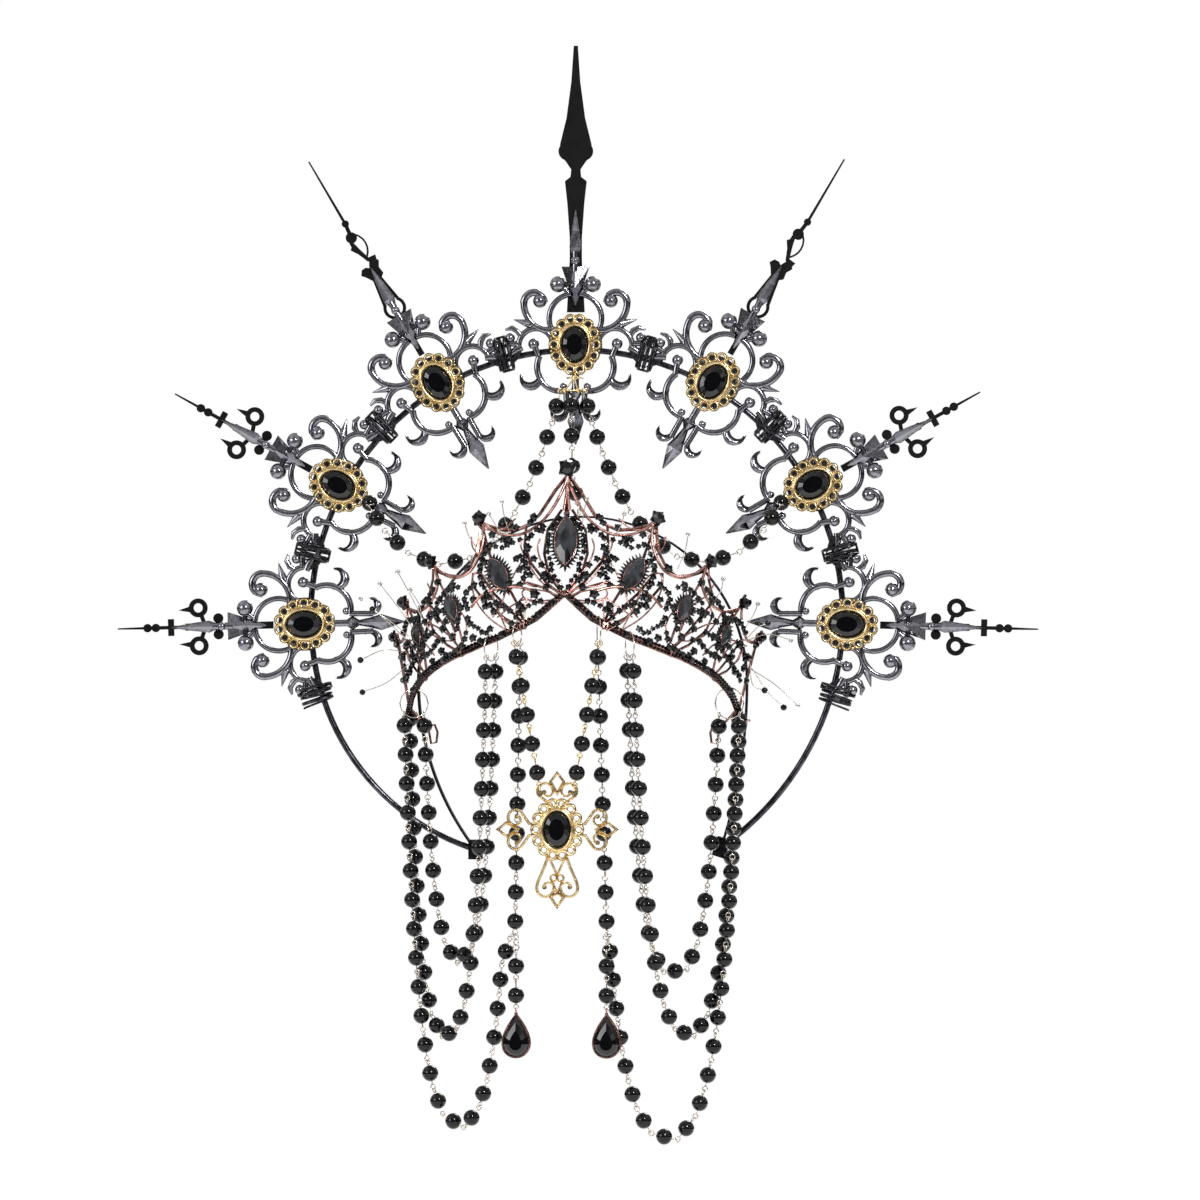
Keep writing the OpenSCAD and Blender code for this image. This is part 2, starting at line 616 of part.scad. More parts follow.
function straight(from, to, count) = [for (i = [0:count]) from + (to - from) * i / count];

// A hanging chain of equal links: the slope of link i is (i - low) / pull
function sum_cos(n, low, pull, i = 0) = i == n ? 0 : cos(atan((i - low) / pull)) + sum_cos(n, low, pull, i + 1);
function sum_sin(n, low, pull, i = 0) = i == n ? 0 : sin(atan((i - low) / pull)) + sum_sin(n, low, pull, i + 1);

function find_low(n, pull, rise, a, b, rounds = 26) = let (m = (a + b) / 2)
    rounds == 0 ? m : sum_sin(n, m, pull) > rise ? find_low(n, pull, rise, m, b, rounds - 1)
        : find_low(n, pull, rise, a, m, rounds - 1);

function find_pull(n, span, rise, a, b, rounds = 26) = let (m = (a + b) / 2)
    rounds == 0 ? m : sum_cos(n, find_low(n, m, rise, -n, 2 * n), m) > span
        ? find_pull(n, span, rise, a, m, rounds - 1) : find_pull(n, span, rise, m, b, rounds - 1);

// Joints of a chain of n links that hangs between two points
function hanging(from, to, n, pitch) = let (
    level = [to[0] - from[0], to[1] - from[1], 0],
    rise = (to[2] - from[2]) / pitch,
    pull = find_pull(n, norm(level) / pitch, rise, 0.01, 40),
    low = find_low(n, pull, rise, -n, 2 * n))
    [for (i = 0, p = from; i <= n;
        p = p + pitch * (cos(atan((i - low) / pull)) * unit(level) + [0, 0, sin(atan((i - low) / pull))]),
        i = i + 1) p];

// A hanging string whose first and last eyes have their own yaws
module swag(from, to, count, first, last, pitch = bead_pitch) string_of(hanging(from, to, count, pitch),
    yaws(count, first, atan2(to[1] - from[1], to[0] - from[0]) - 90, last));

// Rings go round the tiara's band in a radial plane and hang below it. The
// strings hang from a ring's lower half, each turned forward from its bottom
function radial(angle) = [sin(angle), -cos(angle), 0];
// A ring's top lies this far above the band's middle
ring_top = 2.8;
function ring_middle(ring) = on_tiara(ring[0], foot(ring[0]) + foot_h / 2) - [0, 0, ring[1] - ring_top];
function ring_wire(ring, turn) = ring_middle(ring) + ring[1] * (sin(turn) * radial(ring[0]) - [0, 0, cos(turn)]);
// Where a string starts and where one ends on a ring
function first_at(ring, turn) = ring_wire(ring, turn) + [0, 0, grip * (1 / cos(turn) - 1)];
function last_at(ring, turn) = ring_wire(ring, turn) + [0, 0, grip / cos(turn)];
function ring_yaw(ring) = ring[0] - 90;

module jump_ring(ring) translate(ring_middle(ring)) rotate([0, 0, 90 + ring[0]]) wire_ring(ring[1], pin_d);

// Rings, for the left and right side: angle on the band, ring radius
INNER_RING = [[-15.7, 6], [11.5, 7.66]];
OUTER_RING = [[-25.4, 6.5], [22.3, 7.1]];
END_RING = [[-70, 7.1], [69, 7.7]];
BACK_RING = [[-81, 4.8], [81, 4.8]];
// How far strings that share a ring turn forward and back
turn_out = 45;

// Links in the long strings' straight part
LONG_DROP = 10;
// The long strings' straight part drifts outward by this much, left and right
LONG_DRIFT = [2.6, 4.6];
LONG_COUNT = [22, 23];
MIDDLE_COUNT = [25, 25];
SHORT_COUNT = [20, 21];

function pick(pair, side) = pair[side > 0 ? 1 : 0];

module middle_swag(side) color("#151517") {
    from = pick(OUTER_RING, side);
    to = pick(BACK_RING, side);
    swag(first_at(from, turn_out), last_at(to, 0), pick(MIDDLE_COUNT, side), ring_yaw(from), ring_yaw(to) + 90);
    jump_ring(from);
    jump_ring(to);
}

module short_swag(side) color("#151517") {
    from = pick(OUTER_RING, side);
    to = pick(END_RING, side);
    swag(first_at(from, -turn_out), last_at(to, -turn_out), pick(SHORT_COUNT, side), ring_yaw(from), ring_yaw(to) + 90);
}

// The straight part ends in a larger eye, a fork that holds two things: the
// swag, on a small ring that leans outward, and three small rings with two
// beads and a drop, which hang straight down
fork_r = 1.6;
fork_turn = 45;
fork_ring_r = 1.65;
// From upright: how far the swag's ring and its first link are pushed outward
FORK_PUSH = [55, 22];
// The upright plane that the fork lies in, left and right
FORK_YAW = [146, 80];
drop_rings = 3;
drop_beads = 2;
function long_top(side) = first_at(pick(INNER_RING, side), -turn_out);
function long_foot(side) = let (run = LONG_DROP * bead_pitch, drift = pick(LONG_DRIFT, side))
    long_top(side) + [side * drift, 0, -sqrt(run * run - drift * drift)];
function fork_yaw(side) = pick(FORK_YAW, side);
// A direction in the fork's plane, from straight down outward
function fork_dir(side, turn) = [sin(turn) * cos(fork_yaw(side)), sin(turn) * sin(fork_yaw(side)), -cos(turn)];
function fork_middle(side) = long_foot(side) - fork_r * unit(long_foot(side) - long_top(side));
// Where the wire of a ring that the fork holds passes through it
function fork_hold(side, turn) = fork_middle(side) + (fork_r - grip) * fork_dir(side, turn);
function swag_ring(side) = fork_hold(side, fork_turn) + fork_ring_r * fork_dir(side, FORK_PUSH[0]);
function swag_start(side) = swag_ring(side) + fork_ring_r * fork_dir(side, FORK_PUSH[0])
    + grip * (fork_dir(side, FORK_PUSH[1]) - fork_dir(side, (FORK_PUSH[0] + FORK_PUSH[1]) / 2));
function swag_end(side) = last_at(pick(END_RING, side), turn_out);
function swag_points(side) = concat([swag_start(side)],
    hanging(swag_start(side) + bead_pitch * fork_dir(side, FORK_PUSH[1]), swag_end(side),
        pick(LONG_COUNT, side) - 1, bead_pitch));
// Ring by ring, what hangs below the fork turns until the drop faces forward
function drop_yaw(side, step) = fork_yaw(side) + near(-fork_yaw(side) + 90) * step / 6;
function drop_ring(side, k) = fork_hold(side, -fork_turn) - [0, 0, fork_ring_r + k * (2 * fork_ring_r - grip)];
function drop_string_top(side) = drop_ring(side, drop_rings - 1) - [0, 0, fork_ring_r];
function drop_hang(side) = drop_string_top(side) - [0, 0, drop_beads * bead_pitch];

module long_swag(side) color("#151517") {
    from = pick(INNER_RING, side);
    to = pick(END_RING, side);
    top = straight(long_top(side), long_foot(side), LONG_DROP);
    twist = near(fork_yaw(side) - ring_yaw(from)) / (LONG_DROP - 1);
    jump_ring(from);
    for (i = [0:LONG_DROP - 1])
        link(top[i], top[i + 1], ring_yaw(from) + i * twist, i == LONG_DROP - 1 ? fork_r : eye_r);
    align(swag_ring(side), fork_dir(side, FORK_PUSH[0]), fork_dir(side, FORK_PUSH[0] + 90))
        wire_ring(fork_ring_r, pin_d);
    away = swag_end(side) - swag_start(side);
    string_of(swag_points(side), yaws(pick(LONG_COUNT, side), fork_yaw(side) - 90,
        atan2(away[1], away[0]) - 90, ring_yaw(to) + 90, few = 6));
    jump_ring(to);
    for (k = [0:drop_rings - 1]) translate(drop_ring(side, k))
        rotate([0, 0, drop_yaw(side, k) + (k % 2 == 0 ? 90 : 0)]) wire_ring(fork_ring_r, pin_d);
    string_of(straight(drop_string_top(side), drop_hang(side), drop_beads),
        [for (k = [0:drop_beads - 1]) drop_yaw(side, drop_rings + k) + 90]);
}

// Cross pendant

pendant_beads = 5;
cross_eye_x = 8.4;
cross_eye_up = 19;
function pendant_top(side) = first_at(pick(INNER_RING, side), turn_out);
pendant_run = pendant_beads * bead_pitch;
// The strings' lower ends are level, with the cross's two eyes between them
function pendant_in(side, z) = let (down = pendant_top(side)[2] - z) sqrt(max(0, pendant_run * pendant_run - down * down));
function pendant_level(low, high, rounds = 30) = let (z = (low + high) / 2)
    rounds == 0 ? z
    : pendant_top(1)[0] - pendant_top(-1)[0] - pendant_in(1, z) - pendant_in(-1, z) > 2 * cross_eye_x
        ? pendant_level(z, high, rounds - 1) : pendant_level(low, z, rounds - 1);
pendant_z = pendant_level(max(pendant_top(1)[2], pendant_top(-1)[2]) - pendant_run, pendant_top(-1)[2] - pendant_run * 0.9);
pendant_y = (pendant_top(1)[1] + pendant_top(-1)[1]) / 2;
function pendant_foot(side) = [pendant_top(side)[0] - side * pendant_in(side, pendant_z), pendant_y, pendant_z];
cross_pivot = (pendant_foot(1) + pendant_foot(-1)) / 2;
cross_middle = (pendant_foot(1) + pendant_foot(-1)) / 2 - [0, 0, eye_seat + eye_r + cross_eye_up];
cross_t = 1.4;

module pendant_string(side) color("#151517") {
    yaw = ring_yaw(pick(INNER_RING, side));
    string_of(straight(pendant_top(side), pendant_foot(side), pendant_beads), yaws(pendant_beads, yaw, yaw, 0));
}

// Width of the cross's wires
cross_w = 1.3;

// An arm's end, outward along y: two scrolls and a pointed tip
module cross_lobe() {
    mirrored() {
        bar([2.2, 9.4], [3, 12.6], cross_w);
        bar([2.6, 11.8], [8.7, 16.2], cross_w);
        arc_band([5.8, 18.6], 3.8, -45, 182, cross_w);
        arc_band([4.4, 18.6], 2.4, 178, 340, cross_w * 0.8);
        translate([6.4, 18.1]) circle(1.1);
    }
    difference() {
        polygon([[0, 28.4], [4, 23.2], [0, 16.2], [-4, 23.2]]);
        polygon([[0, 26.4], [2.5, 23.2], [0, 18.8], [-2.5, 23.2]]);
    }
}

// The lower arm: a pear outline with scrolls, a pointed heart and a tip
module cross_foot() {
    mirrored() {
        bar([4.2, -12.5], [6.4, -18.5], cross_w);
        translate([6.4, -18.5]) circle(cross_w / 2);
        bar([6.4, -18.5], [9.8, -26.4], cross_w);
        arc_band([5.8, -28.4], 4.2, -182, 30, cross_w);
        arc_band([4.2, -28.4], 2.6, 20, 182, cross_w * 0.8);
        translate([6.2, -28]) circle(1.1);
        bar([3.8, -14], [0, -22.2], cross_w * 0.8);
        difference() {
            translate([1.6, -23.6]) circle(2);
            translate([1.6, -23.6]) circle(1.1);
        }
        bar([2.6, -25], [0, -31.2], cross_w * 0.8);
    }
    difference() {
        polygon([[0, -38.8], [4, -33], [0, -29.8], [-4, -33]]);
        polygon([[0, -36.6], [2.3, -33.2], [0, -31.4], [-2.3, -33.2]]);
    }
}

module cross_flat() {
    cross_lobe();
    for (side = [-1, 1]) rotate(side * 90) translate([0, 1.6]) cross_lobe();
    cross_foot();
}

// The cross lies this far behind its eyes' middles, clear of the strings' eyes
cross_back = cross_t + 0.5;

module cross_pendant() color("#d9b25a") {
    translate(cross_middle) upright() translate([0, 0, -cross_back]) {
        linear_extrude(cross_t) cross_flat();
        filigree_bezel(stone_a, stone_b);
        mirrored() translate([cross_eye_x, cross_eye_up - 1.4, 0]) cylinder(h = cross_back + 0.3, r = 1.4);
    }
    for (side = [-1, 1]) translate(cross_middle + [side * cross_eye_x, 0, cross_eye_up + eye_r])
        rotate([0, 0, 90]) wire_ring(eye_r, pin_d);
}

module cross_stone() color("#0c0c0e") translate(cross_middle) upright() translate([0, 0, -cross_back])
    oval_stone(stone_a, stone_b);

// Pear drops

drop_r = 6.2;
drop_tip = 13.2;
drop_rim = 0.9;
drop_t = 5.2;
// The drop's round part lies this far below the pin that it hangs on
function drop_middle(side) = drop_hang(side) - [0, 0, eye_seat + eye_r + drop_tip + drop_rim * 2];

module drop_setting(side) color("#b98a72") translate(drop_middle(side)) {
    upright() translate([0, 0, -drop_t / 2]) difference() {
        linear_extrude(drop_t - 1.4) polygon(pear_outline(drop_r + drop_rim, drop_tip + drop_rim * 1.8, 26));
        translate([0, 0, 1]) linear_extrude(drop_t) polygon(pear_outline(drop_r + 0.15, drop_tip + 0.3, 26));
    }
    translate([0, 0, drop_tip + drop_rim * 2 + eye_r]) rotate([0, 0, 90]) wire_ring(eye_r, pin_d);
    translate([0, 0, drop_tip + 0.5]) cylinder(h = drop_rim * 2 - 0.3, r = 0.8);
}

module drop_stone(side) color("#0c0c0e") translate(drop_middle(side)) upright() translate([0, 0, 1.15 - drop_t / 2])
    cut_stone(pear_outline(drop_r, drop_tip, 16), [[0.92, 0], [1, 0.8], [1, 2.6], [0.8, 4], [0.5, 5]]);

// Cap and ties on the medallions' stems, and the strings between them

halo_count = 10;
centre_count = 4;
stem_v = -16.5;
tie_d = 0.8;
// A ring round a stem, with its back just behind the stem
module stem_ring(r, sides) translate([0, stem_v, cast_back - 0.65 + r]) rotate([90, 0, 0])
    rotate_extrude($fn = sides) translate([r, 0]) circle(d = tie_d);

// The cap: a ring round the top stem carries an open rim with gold grains
cap_x = -1;
cap_r = 6.4;
cap_y = -8.5;
cap_z = 62.6;
cap_hanger_r = 3.9;
function cap_point(angle) = [cap_x + cap_r * sin(angle), cap_y - cap_r * cos(angle), cap_z];
grip_on_tie = (tie_d - pin_d) / 2;

module string_cap() color("#d9b25a") {
    $fn = 12;
    front = [0, -(cast_back - 0.65 + 2 * cap_hanger_r), medallion_r - halo_drop + stem_v];
    on_halo(0) stem_ring(cap_hanger_r, 32);
    translate([cap_x, cap_y, cap_z]) rotate([0, 0, 180]) rotate_extrude(angle = 180, $fn = 32)
        translate([cap_r, 0]) circle(d = tie_d);
    for (angle = [-90, -30, 30, 90]) translate(cap_point(angle)) sphere(1.4);
    for (angle = [-30, 30]) strut(front, cap_point(angle), tie_d);
    translate(front) sphere(1.5);
}

module strut(a, b, d) align(a, b - a, [1, 0.3, 0]) cylinder(h = norm(b - a), d = d);

// The tie on a side medallion's stem ends in a small eye in front of it
tie_r = 3.4;
tie_eye_r = 1.4;
tie_y = -10;
tie_pull = 27;
function tie_front(side) = let (r = medallion_r + stem_v, angle = side * 2 * medallion_step)
    halo_middle + [r * sin(angle), tie_y, r * cos(angle)];
function tie_dir(side) = [-side * sin(tie_pull), 0, -cos(tie_pull)];

module halo_swag(side) color("#151517") {
    from = cap_point(side * 60) + [0, 0, grip_on_tie];
    to = tie_front(side) + (2 * tie_eye_r - grip - grip_on_tie) * tie_dir(side);
    swag(from, to, halo_count, side * 60, atan2(to[1] - from[1], to[0] - from[0]) - 90, halo_pitch);
    on_halo(side * 2 * medallion_step) stem_ring(tie_r, $fn);
    ring_front = -(cast_back - 0.65 + 2 * tie_r);
    strut([tie_front(side)[0], ring_front, tie_front(side)[2]], tie_front(side), tie_d);
    translate(tie_front(side) + tie_eye_r * tie_dir(side)) wire_ring(tie_eye_r, tie_d);
}

// The string that hangs from the cap to a ring about the headband's top
centre_pitch = 14.9;
headband_ring_r = 5.5;
headband_ring = [1.4, 0, headband_ring_r - 1.7];
// The last link pulls on its ring this far forward of the ring's top
centre_turn = 60;
centre_foot = headband_ring + (headband_ring_r - grip) * [0, -sin(centre_turn), cos(centre_turn)];
centre_points = hanging(cap_point(0) + [0, 0, grip_on_tie], centre_foot, centre_count, centre_pitch);

module centre_string() color("#151517") {
    string_of(centre_points, [for (i = [1:centre_count]) 0]);
    translate(headband_ring) rotate([0, 0, 90]) wire_ring(headband_ring_r, pin_d);
}

halo_frame();
headband();
for (i = [1:MEDALLIONS]) {
    medallion(i);
    clock_hand(i);
    bezel(i);
    stone(i);
    marquise(i);
}
wire_bindings();
tiara_frame();
tiara_stones();
for (k = [0:1]) {
    side = 2 * k - 1;
    long_swag(side);
    middle_swag(side);
    short_swag(side);
    pendant_string(side);
    halo_swag(side);
    drop_setting(side);
    drop_stone(side);
}
string_cap();
centre_string();
cross_pendant();
cross_stone();
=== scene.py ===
# %% [markdown]
# # A gothic halo crown
# The crown is built in CAD and loaded here as a fixed frame. This notebook gives it its looks.
# Solids whose shape is right keep their mesh and get a real finish. The bead strings are drawn
# again with smooth beads and round wire, and the fine things that a CAD source leaves out are
# added on top: rounded scrollwork, toothed rims, rows of tiny stones, fine wires and sprays.
# All sizes are in metres, as Blender counts, and MM turns the maker's millimetres into them.

import json
import math

import bmesh
import bpy
import numpy as np
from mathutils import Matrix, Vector


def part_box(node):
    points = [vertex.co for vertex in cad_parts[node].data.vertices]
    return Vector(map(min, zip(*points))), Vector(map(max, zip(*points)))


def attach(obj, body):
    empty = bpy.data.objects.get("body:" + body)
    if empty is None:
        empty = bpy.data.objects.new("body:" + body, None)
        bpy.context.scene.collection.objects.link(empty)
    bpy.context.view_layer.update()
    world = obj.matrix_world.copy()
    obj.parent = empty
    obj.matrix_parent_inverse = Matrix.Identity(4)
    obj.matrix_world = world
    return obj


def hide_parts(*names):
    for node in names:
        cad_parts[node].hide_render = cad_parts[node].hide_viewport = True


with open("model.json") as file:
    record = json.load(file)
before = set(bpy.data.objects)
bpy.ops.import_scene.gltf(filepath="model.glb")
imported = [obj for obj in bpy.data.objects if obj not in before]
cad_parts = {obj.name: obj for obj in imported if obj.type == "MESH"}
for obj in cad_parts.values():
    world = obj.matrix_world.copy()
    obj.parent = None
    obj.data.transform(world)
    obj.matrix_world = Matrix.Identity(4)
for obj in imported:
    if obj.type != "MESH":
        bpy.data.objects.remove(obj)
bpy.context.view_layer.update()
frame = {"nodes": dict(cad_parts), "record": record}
NODES = frame["nodes"]
MM = 0.001

# %% [markdown]
# ## Two helpers for node trees
# A colour is given as a hex code, which is in the screen's own scale. Shaders count in
# linear light, so one function turns a code into linear numbers. A node tree could be built
# with many separate lines for each node. One small function that adds a node together with its
# settings and its links keeps every recipe below short, and easy to read from top to bottom.

# %% Colour and node helpers
def srgb(code):
    """A hex colour as the linear numbers that a shader takes."""
    parts = [int(code[k:k + 2], 16) / 255 for k in (1, 3, 5)]
    return (*[c / 12.92 if c < 0.04045 else ((c + 0.055) / 1.055) ** 2.4 for c in parts], 1.0)


def add(tree, kind, inputs=None, **settings):
    """Adds a node. Its inputs are sockets to link from, or plain values, by name or number."""
    node = tree.nodes.new(kind)
    for name, value in settings.items():
        setattr(node, name, value)
    for key, value in (inputs or {}).items():
        if isinstance(value, bpy.types.NodeSocket):
            tree.links.new(value, node.inputs[key])
        else:
            node.inputs[key].default_value = value
    return node

# %% [markdown]
# ## A finish with a grain
# Every finish here starts the same way: the shader, and Object coordinates that stay fixed to
# the piece. A Generated texture would stretch with each piece's own box, so two pieces of one
# metal would show two grains. With Object coordinates a size of 1 mm is 1 mm on all of them.

# %% Start a material
def new_finish(name, **fixed):
    """A material with a Principled shader. Fixed values are set on the shader's own sockets."""
    material = bpy.data.materials.new(name)
    material.use_nodes = True
    tree = material.node_tree
    tree.nodes.clear()
    shader = add(tree, "ShaderNodeBsdfPrincipled")
    add(tree, "ShaderNodeOutputMaterial", {"Surface": shader.outputs["BSDF"]})
    for label, value in fixed.items():
        shader.inputs[label.replace("_", " ")].default_value = value
    place = add(tree, "ShaderNodeTexCoord").outputs["Object"]
    return material, tree, shader, place


def grain(tree, place, size_mm, detail=2.0):
    """Soft noise whose spots are about size_mm across. It runs from 0 to 1."""
    return add(tree, "ShaderNodeTexNoise", {"Vector": place, "Scale": 1 / (size_mm * MM), "Detail": detail},
               noise_dimensions="3D").outputs["Fac"]


def blend_colours(tree, amount, first, second):
    mix = add(tree, "ShaderNodeMix", {"Factor": amount}, data_type="RGBA")
    for socket, value in (("A", first), ("B", second)):
        end = [s for s in mix.inputs if s.name == socket and s.type == "RGBA"][0]
        if isinstance(value, bpy.types.NodeSocket):
            tree.links.new(value, end)
        else:
            end.default_value = value
    return [s for s in mix.outputs if s.type == "RGBA"][0]


def spread(tree, value, low, high, from_low=0.3, from_high=0.7):
    """Stretches a grain's middle range to the two values given."""
    return add(tree, "ShaderNodeMapRange", {"Value": value, "From Min": from_low, "From Max": from_high,
                                            "To Min": low, "To Max": high}).outputs["Result"]


def bumped(tree, shader, height, depth_mm):
    bump = add(tree, "ShaderNodeBump", {"Height": height, "Distance": depth_mm * MM, "Strength": 1.0})
    tree.links.new(bump.outputs["Normal"], shader.inputs["Normal"])
    return bump

# %% [markdown]
# ## Plated metals
# The crown's metals are cheap castings and wires with thin bright plating. Such plating is
# seldom even: it is duller where fingers and the mould left it, and its sheen wanders over a
# few millimetres. A single flat colour looks like plastic, so one recipe mixes a dull and a
# bright tone over a soft grain, lets the roughness wander, and dents the surface very slightly.

# %% The recipe for plating
def plated(name, dull, bright, rough, patch_mm, dent_mm, dent_depth_mm):
    material, tree, shader, place = new_finish(name, Metallic=1.0)
    patch = grain(tree, place, patch_mm, 3.0)
    colour = blend_colours(tree, spread(tree, patch, 0.0, 1.0), srgb(dull), srgb(bright))
    tree.links.new(colour, shader.inputs["Base Color"])
    wander = grain(tree, place, patch_mm * 0.35)
    tree.links.new(spread(tree, wander, *rough), shader.inputs["Roughness"])
    bumped(tree, shader, grain(tree, place, dent_mm), dent_depth_mm)
    return material


# Real antiqued brass-gold on the bezels and the cross: warm yellow, browner in its dull patches
ANTIQUE_GOLD = plated("antique_gold", "#bb9c5e", "#fdeabf", (0.14, 0.3), 2.4, 0.5, 0.03)
# Rose gold on the tiara's wires: copper pink
ROSE_GOLD = plated("rose_gold", "#4d302a", "#bd9085", (0.16, 0.34), 3.0, 0.6, 0.02)
# Pale gold wire of the pendant strings
GOLD_WIRE = plated("gold_wire", "#a98646", "#ecd08c", (0.14, 0.28), 2.0, 0.5, 0.01)
# Rhodium-grey wire of the other strings
SILVER_WIRE = plated("silver_wire", "#8d8478", "#dcd5c8", (0.14, 0.28), 2.0, 0.5, 0.01)
# Black nickel on the halo's ring
BLACK_NICKEL = plated("black_nickel", "#19191c", "#48484e", (0.14, 0.3), 4.0, 0.7, 0.02)
# Blackened iron wire of the bindings
BINDING_WIRE = plated("binding_wire", "#141416", "#3e3e43", (0.2, 0.38), 1.6, 0.4, 0.03)
print("plated metals:", [m.name for m in bpy.data.materials])

# %% [markdown]
# ## Cast gunmetal
# The medallions are castings. Their colour is painted darker in the hollows, as painted shade,
# and lighter on the proudest faces. Their depth is known: the cast runs from 1.8 mm in front of the
# halo's middle plane to its proudest ridges, so the painted shade follows the depth, which is the
# Object y coordinate, with a grain that breaks up its border. Fine scratches run across it.

# %% Gunmetal of the medallions
def cast_gunmetal():
    material, tree, shader, place = new_finish("gunmetal", Metallic=1.0)
    axes = add(tree, "ShaderNodeSeparateXYZ", {"Vector": place})
    # y from -2.2 mm in the hollows, painted darkest as shade, to -4.2 mm on the proudest faces
    height = spread(tree, axes.outputs["Y"], 0.0, 1.0, -2.2 * MM, -4.2 * MM)
    patch = spread(tree, grain(tree, place, 1.8, 4.0), -0.35, 0.35)
    depth_shade = add(tree, "ShaderNodeMath", {0: height, 1: patch}, operation="ADD", use_clamp=True).outputs[0]
    # Painted shade: near black in the hollows, lighter grey on the proudest faces
    colour = blend_colours(tree, depth_shade, srgb("#121214"), srgb("#7a7a80"))
    tree.links.new(colour, shader.inputs["Base Color"])
    # Scratches about 0.5 mm apart, drawn long by squeezing one axis
    drawn = add(tree, "ShaderNodeMapping", {"Vector": place, "Scale": (1.0, 1.0, 0.18)})
    scratch = grain(tree, drawn.outputs["Vector"], 0.5, 4.0)
    tree.links.new(spread(tree, scratch, 0.08, 0.24), shader.inputs["Roughness"])
    bumped(tree, shader, grain(tree, place, 0.9, 2.0), 0.05)
    return material


GUNMETAL = cast_gunmetal()
print("gunmetal ready:", len(GUNMETAL.node_tree.nodes), "nodes")

# %% [markdown]
# ## Black lacquer and spring steel
# The clock hands are stamped sheet with a satin black lacquer. The headband is a flat strip of
# blued spring steel. Both are almost black, and what tells them apart is their sheen: lacquer
# is a dielectric with a soft, slightly pitted gloss, steel is a metal with lengthwise brushing.

# %% Lacquer and headband steel
def satin_lacquer():
    material, tree, shader, place = new_finish("black_lacquer", Specular_IOR_Level=0.1)
    patch = grain(tree, place, 6.0, 3.0)
    colour = blend_colours(tree, patch, srgb("#030304"), srgb("#0a0a0b"))
    tree.links.new(colour, shader.inputs["Base Color"])
    tree.links.new(spread(tree, patch, 0.42, 0.6), shader.inputs["Roughness"])
    # Orange-peel pits 0.35 mm across
    bumped(tree, shader, grain(tree, place, 0.35), 0.02)
    return material


def spring_steel():
    material, tree, shader, place = new_finish("black_steel", Metallic=1.0)
    # Brushing runs round the band, so it is fine across the strip, along y
    drawn = add(tree, "ShaderNodeMapping", {"Vector": place, "Scale": (0.15, 1.0, 0.15)})
    brush = grain(tree, drawn.outputs["Vector"], 0.4, 4.0)
    colour = blend_colours(tree, brush, srgb("#17171b"), srgb("#34343c"))
    tree.links.new(colour, shader.inputs["Base Color"])
    tree.links.new(spread(tree, brush, 0.24, 0.42), shader.inputs["Roughness"])
    bumped(tree, shader, brush, 0.02)
    return material


BLACK_LACQUER = satin_lacquer()
BLACK_STEEL = spring_steel()
print("black finishes ready")

# %% [markdown]
# ## Black crystal, grey crystal and glass beads
# The stones are opaque cut glass. All that the eye sees is the reflection on each facet, so the
# colour is near black and the surface very smooth. The beads are cheaper glass, and their gloss
# is turned down on the shader, or the white studio would wash them out to grey. The marquise
# stones get pale streaks painted into their colour as painted reflections. A clear seed bead lets light through.

# %% Stones and beads
def black_glass(name, tint, gloss, rough, ripple_mm, ripple_depth_mm):
    material, tree, shader, place = new_finish(name, Specular_IOR_Level=gloss)
    cloud = grain(tree, place, 3.0, 2.0)
    colour = blend_colours(tree, cloud, srgb("#030304"), srgb(tint))
    tree.links.new(colour, shader.inputs["Base Color"])
    tree.links.new(spread(tree, cloud, *rough), shader.inputs["Roughness"])
    bumped(tree, shader, grain(tree, place, ripple_mm), ripple_depth_mm)
    return material


def crystal_with_painted_reflections():
    material, tree, shader, place = new_finish("grey_crystal", Roughness=0.05)
    # Painted reflections: streaks 3 mm wide and long along the stone, broken by fine cells
    drawn = add(tree, "ShaderNodeMapping", {"Vector": place, "Scale": (1.0, 1.0, 0.35)})
    cells = add(tree, "ShaderNodeTexVoronoi", {"Vector": drawn.outputs["Vector"], "Scale": 1 / (3.2 * MM)},
                feature="F1").outputs["Distance"]
    reflection_streak = grain(tree, drawn.outputs["Vector"], 2.6, 5.0)
    amount = add(tree, "ShaderNodeMath", {0: cells, 1: reflection_streak}, operation="MULTIPLY").outputs[0]
    # Painted reflections: pale grey streaks over near-black glass
    colour = blend_colours(tree, spread(tree, amount, 0.0, 1.0, 0.1, 0.42), srgb("#060708"), srgb("#282b2f"))
    tree.links.new(colour, shader.inputs["Base Color"])
    return material


def clear_bead():
    material, tree, shader, place = new_finish("clear_bead", Roughness=0.04, Transmission_Weight=0.85)
    cloud = grain(tree, place, 1.2)
    tree.links.new(blend_colours(tree, cloud, srgb("#d9d4cc"), srgb("#ffffff")), shader.inputs["Base Color"])
    return material


BLACK_CRYSTAL = black_glass("black_crystal", "#08080b", 0.42, (0.015, 0.04), 4.0, 0.01)
BLACK_BEAD = black_glass("black_bead", "#070708", 0.26, (0.05, 0.1), 2.0, 0.01)
PAINTED_REFLECTION_CRYSTAL = crystal_with_painted_reflections()
CLEAR_BEAD = clear_bead()
print("materials:", sorted(m.name for m in bpy.data.materials if m.use_nodes))

# %% [markdown]
# ## Dress the CAD solids
# A solid whose shape is right stays as it is and only gets a finish. The record names a
# finish slot for each node, so a short table of slot and material dresses them all at once.

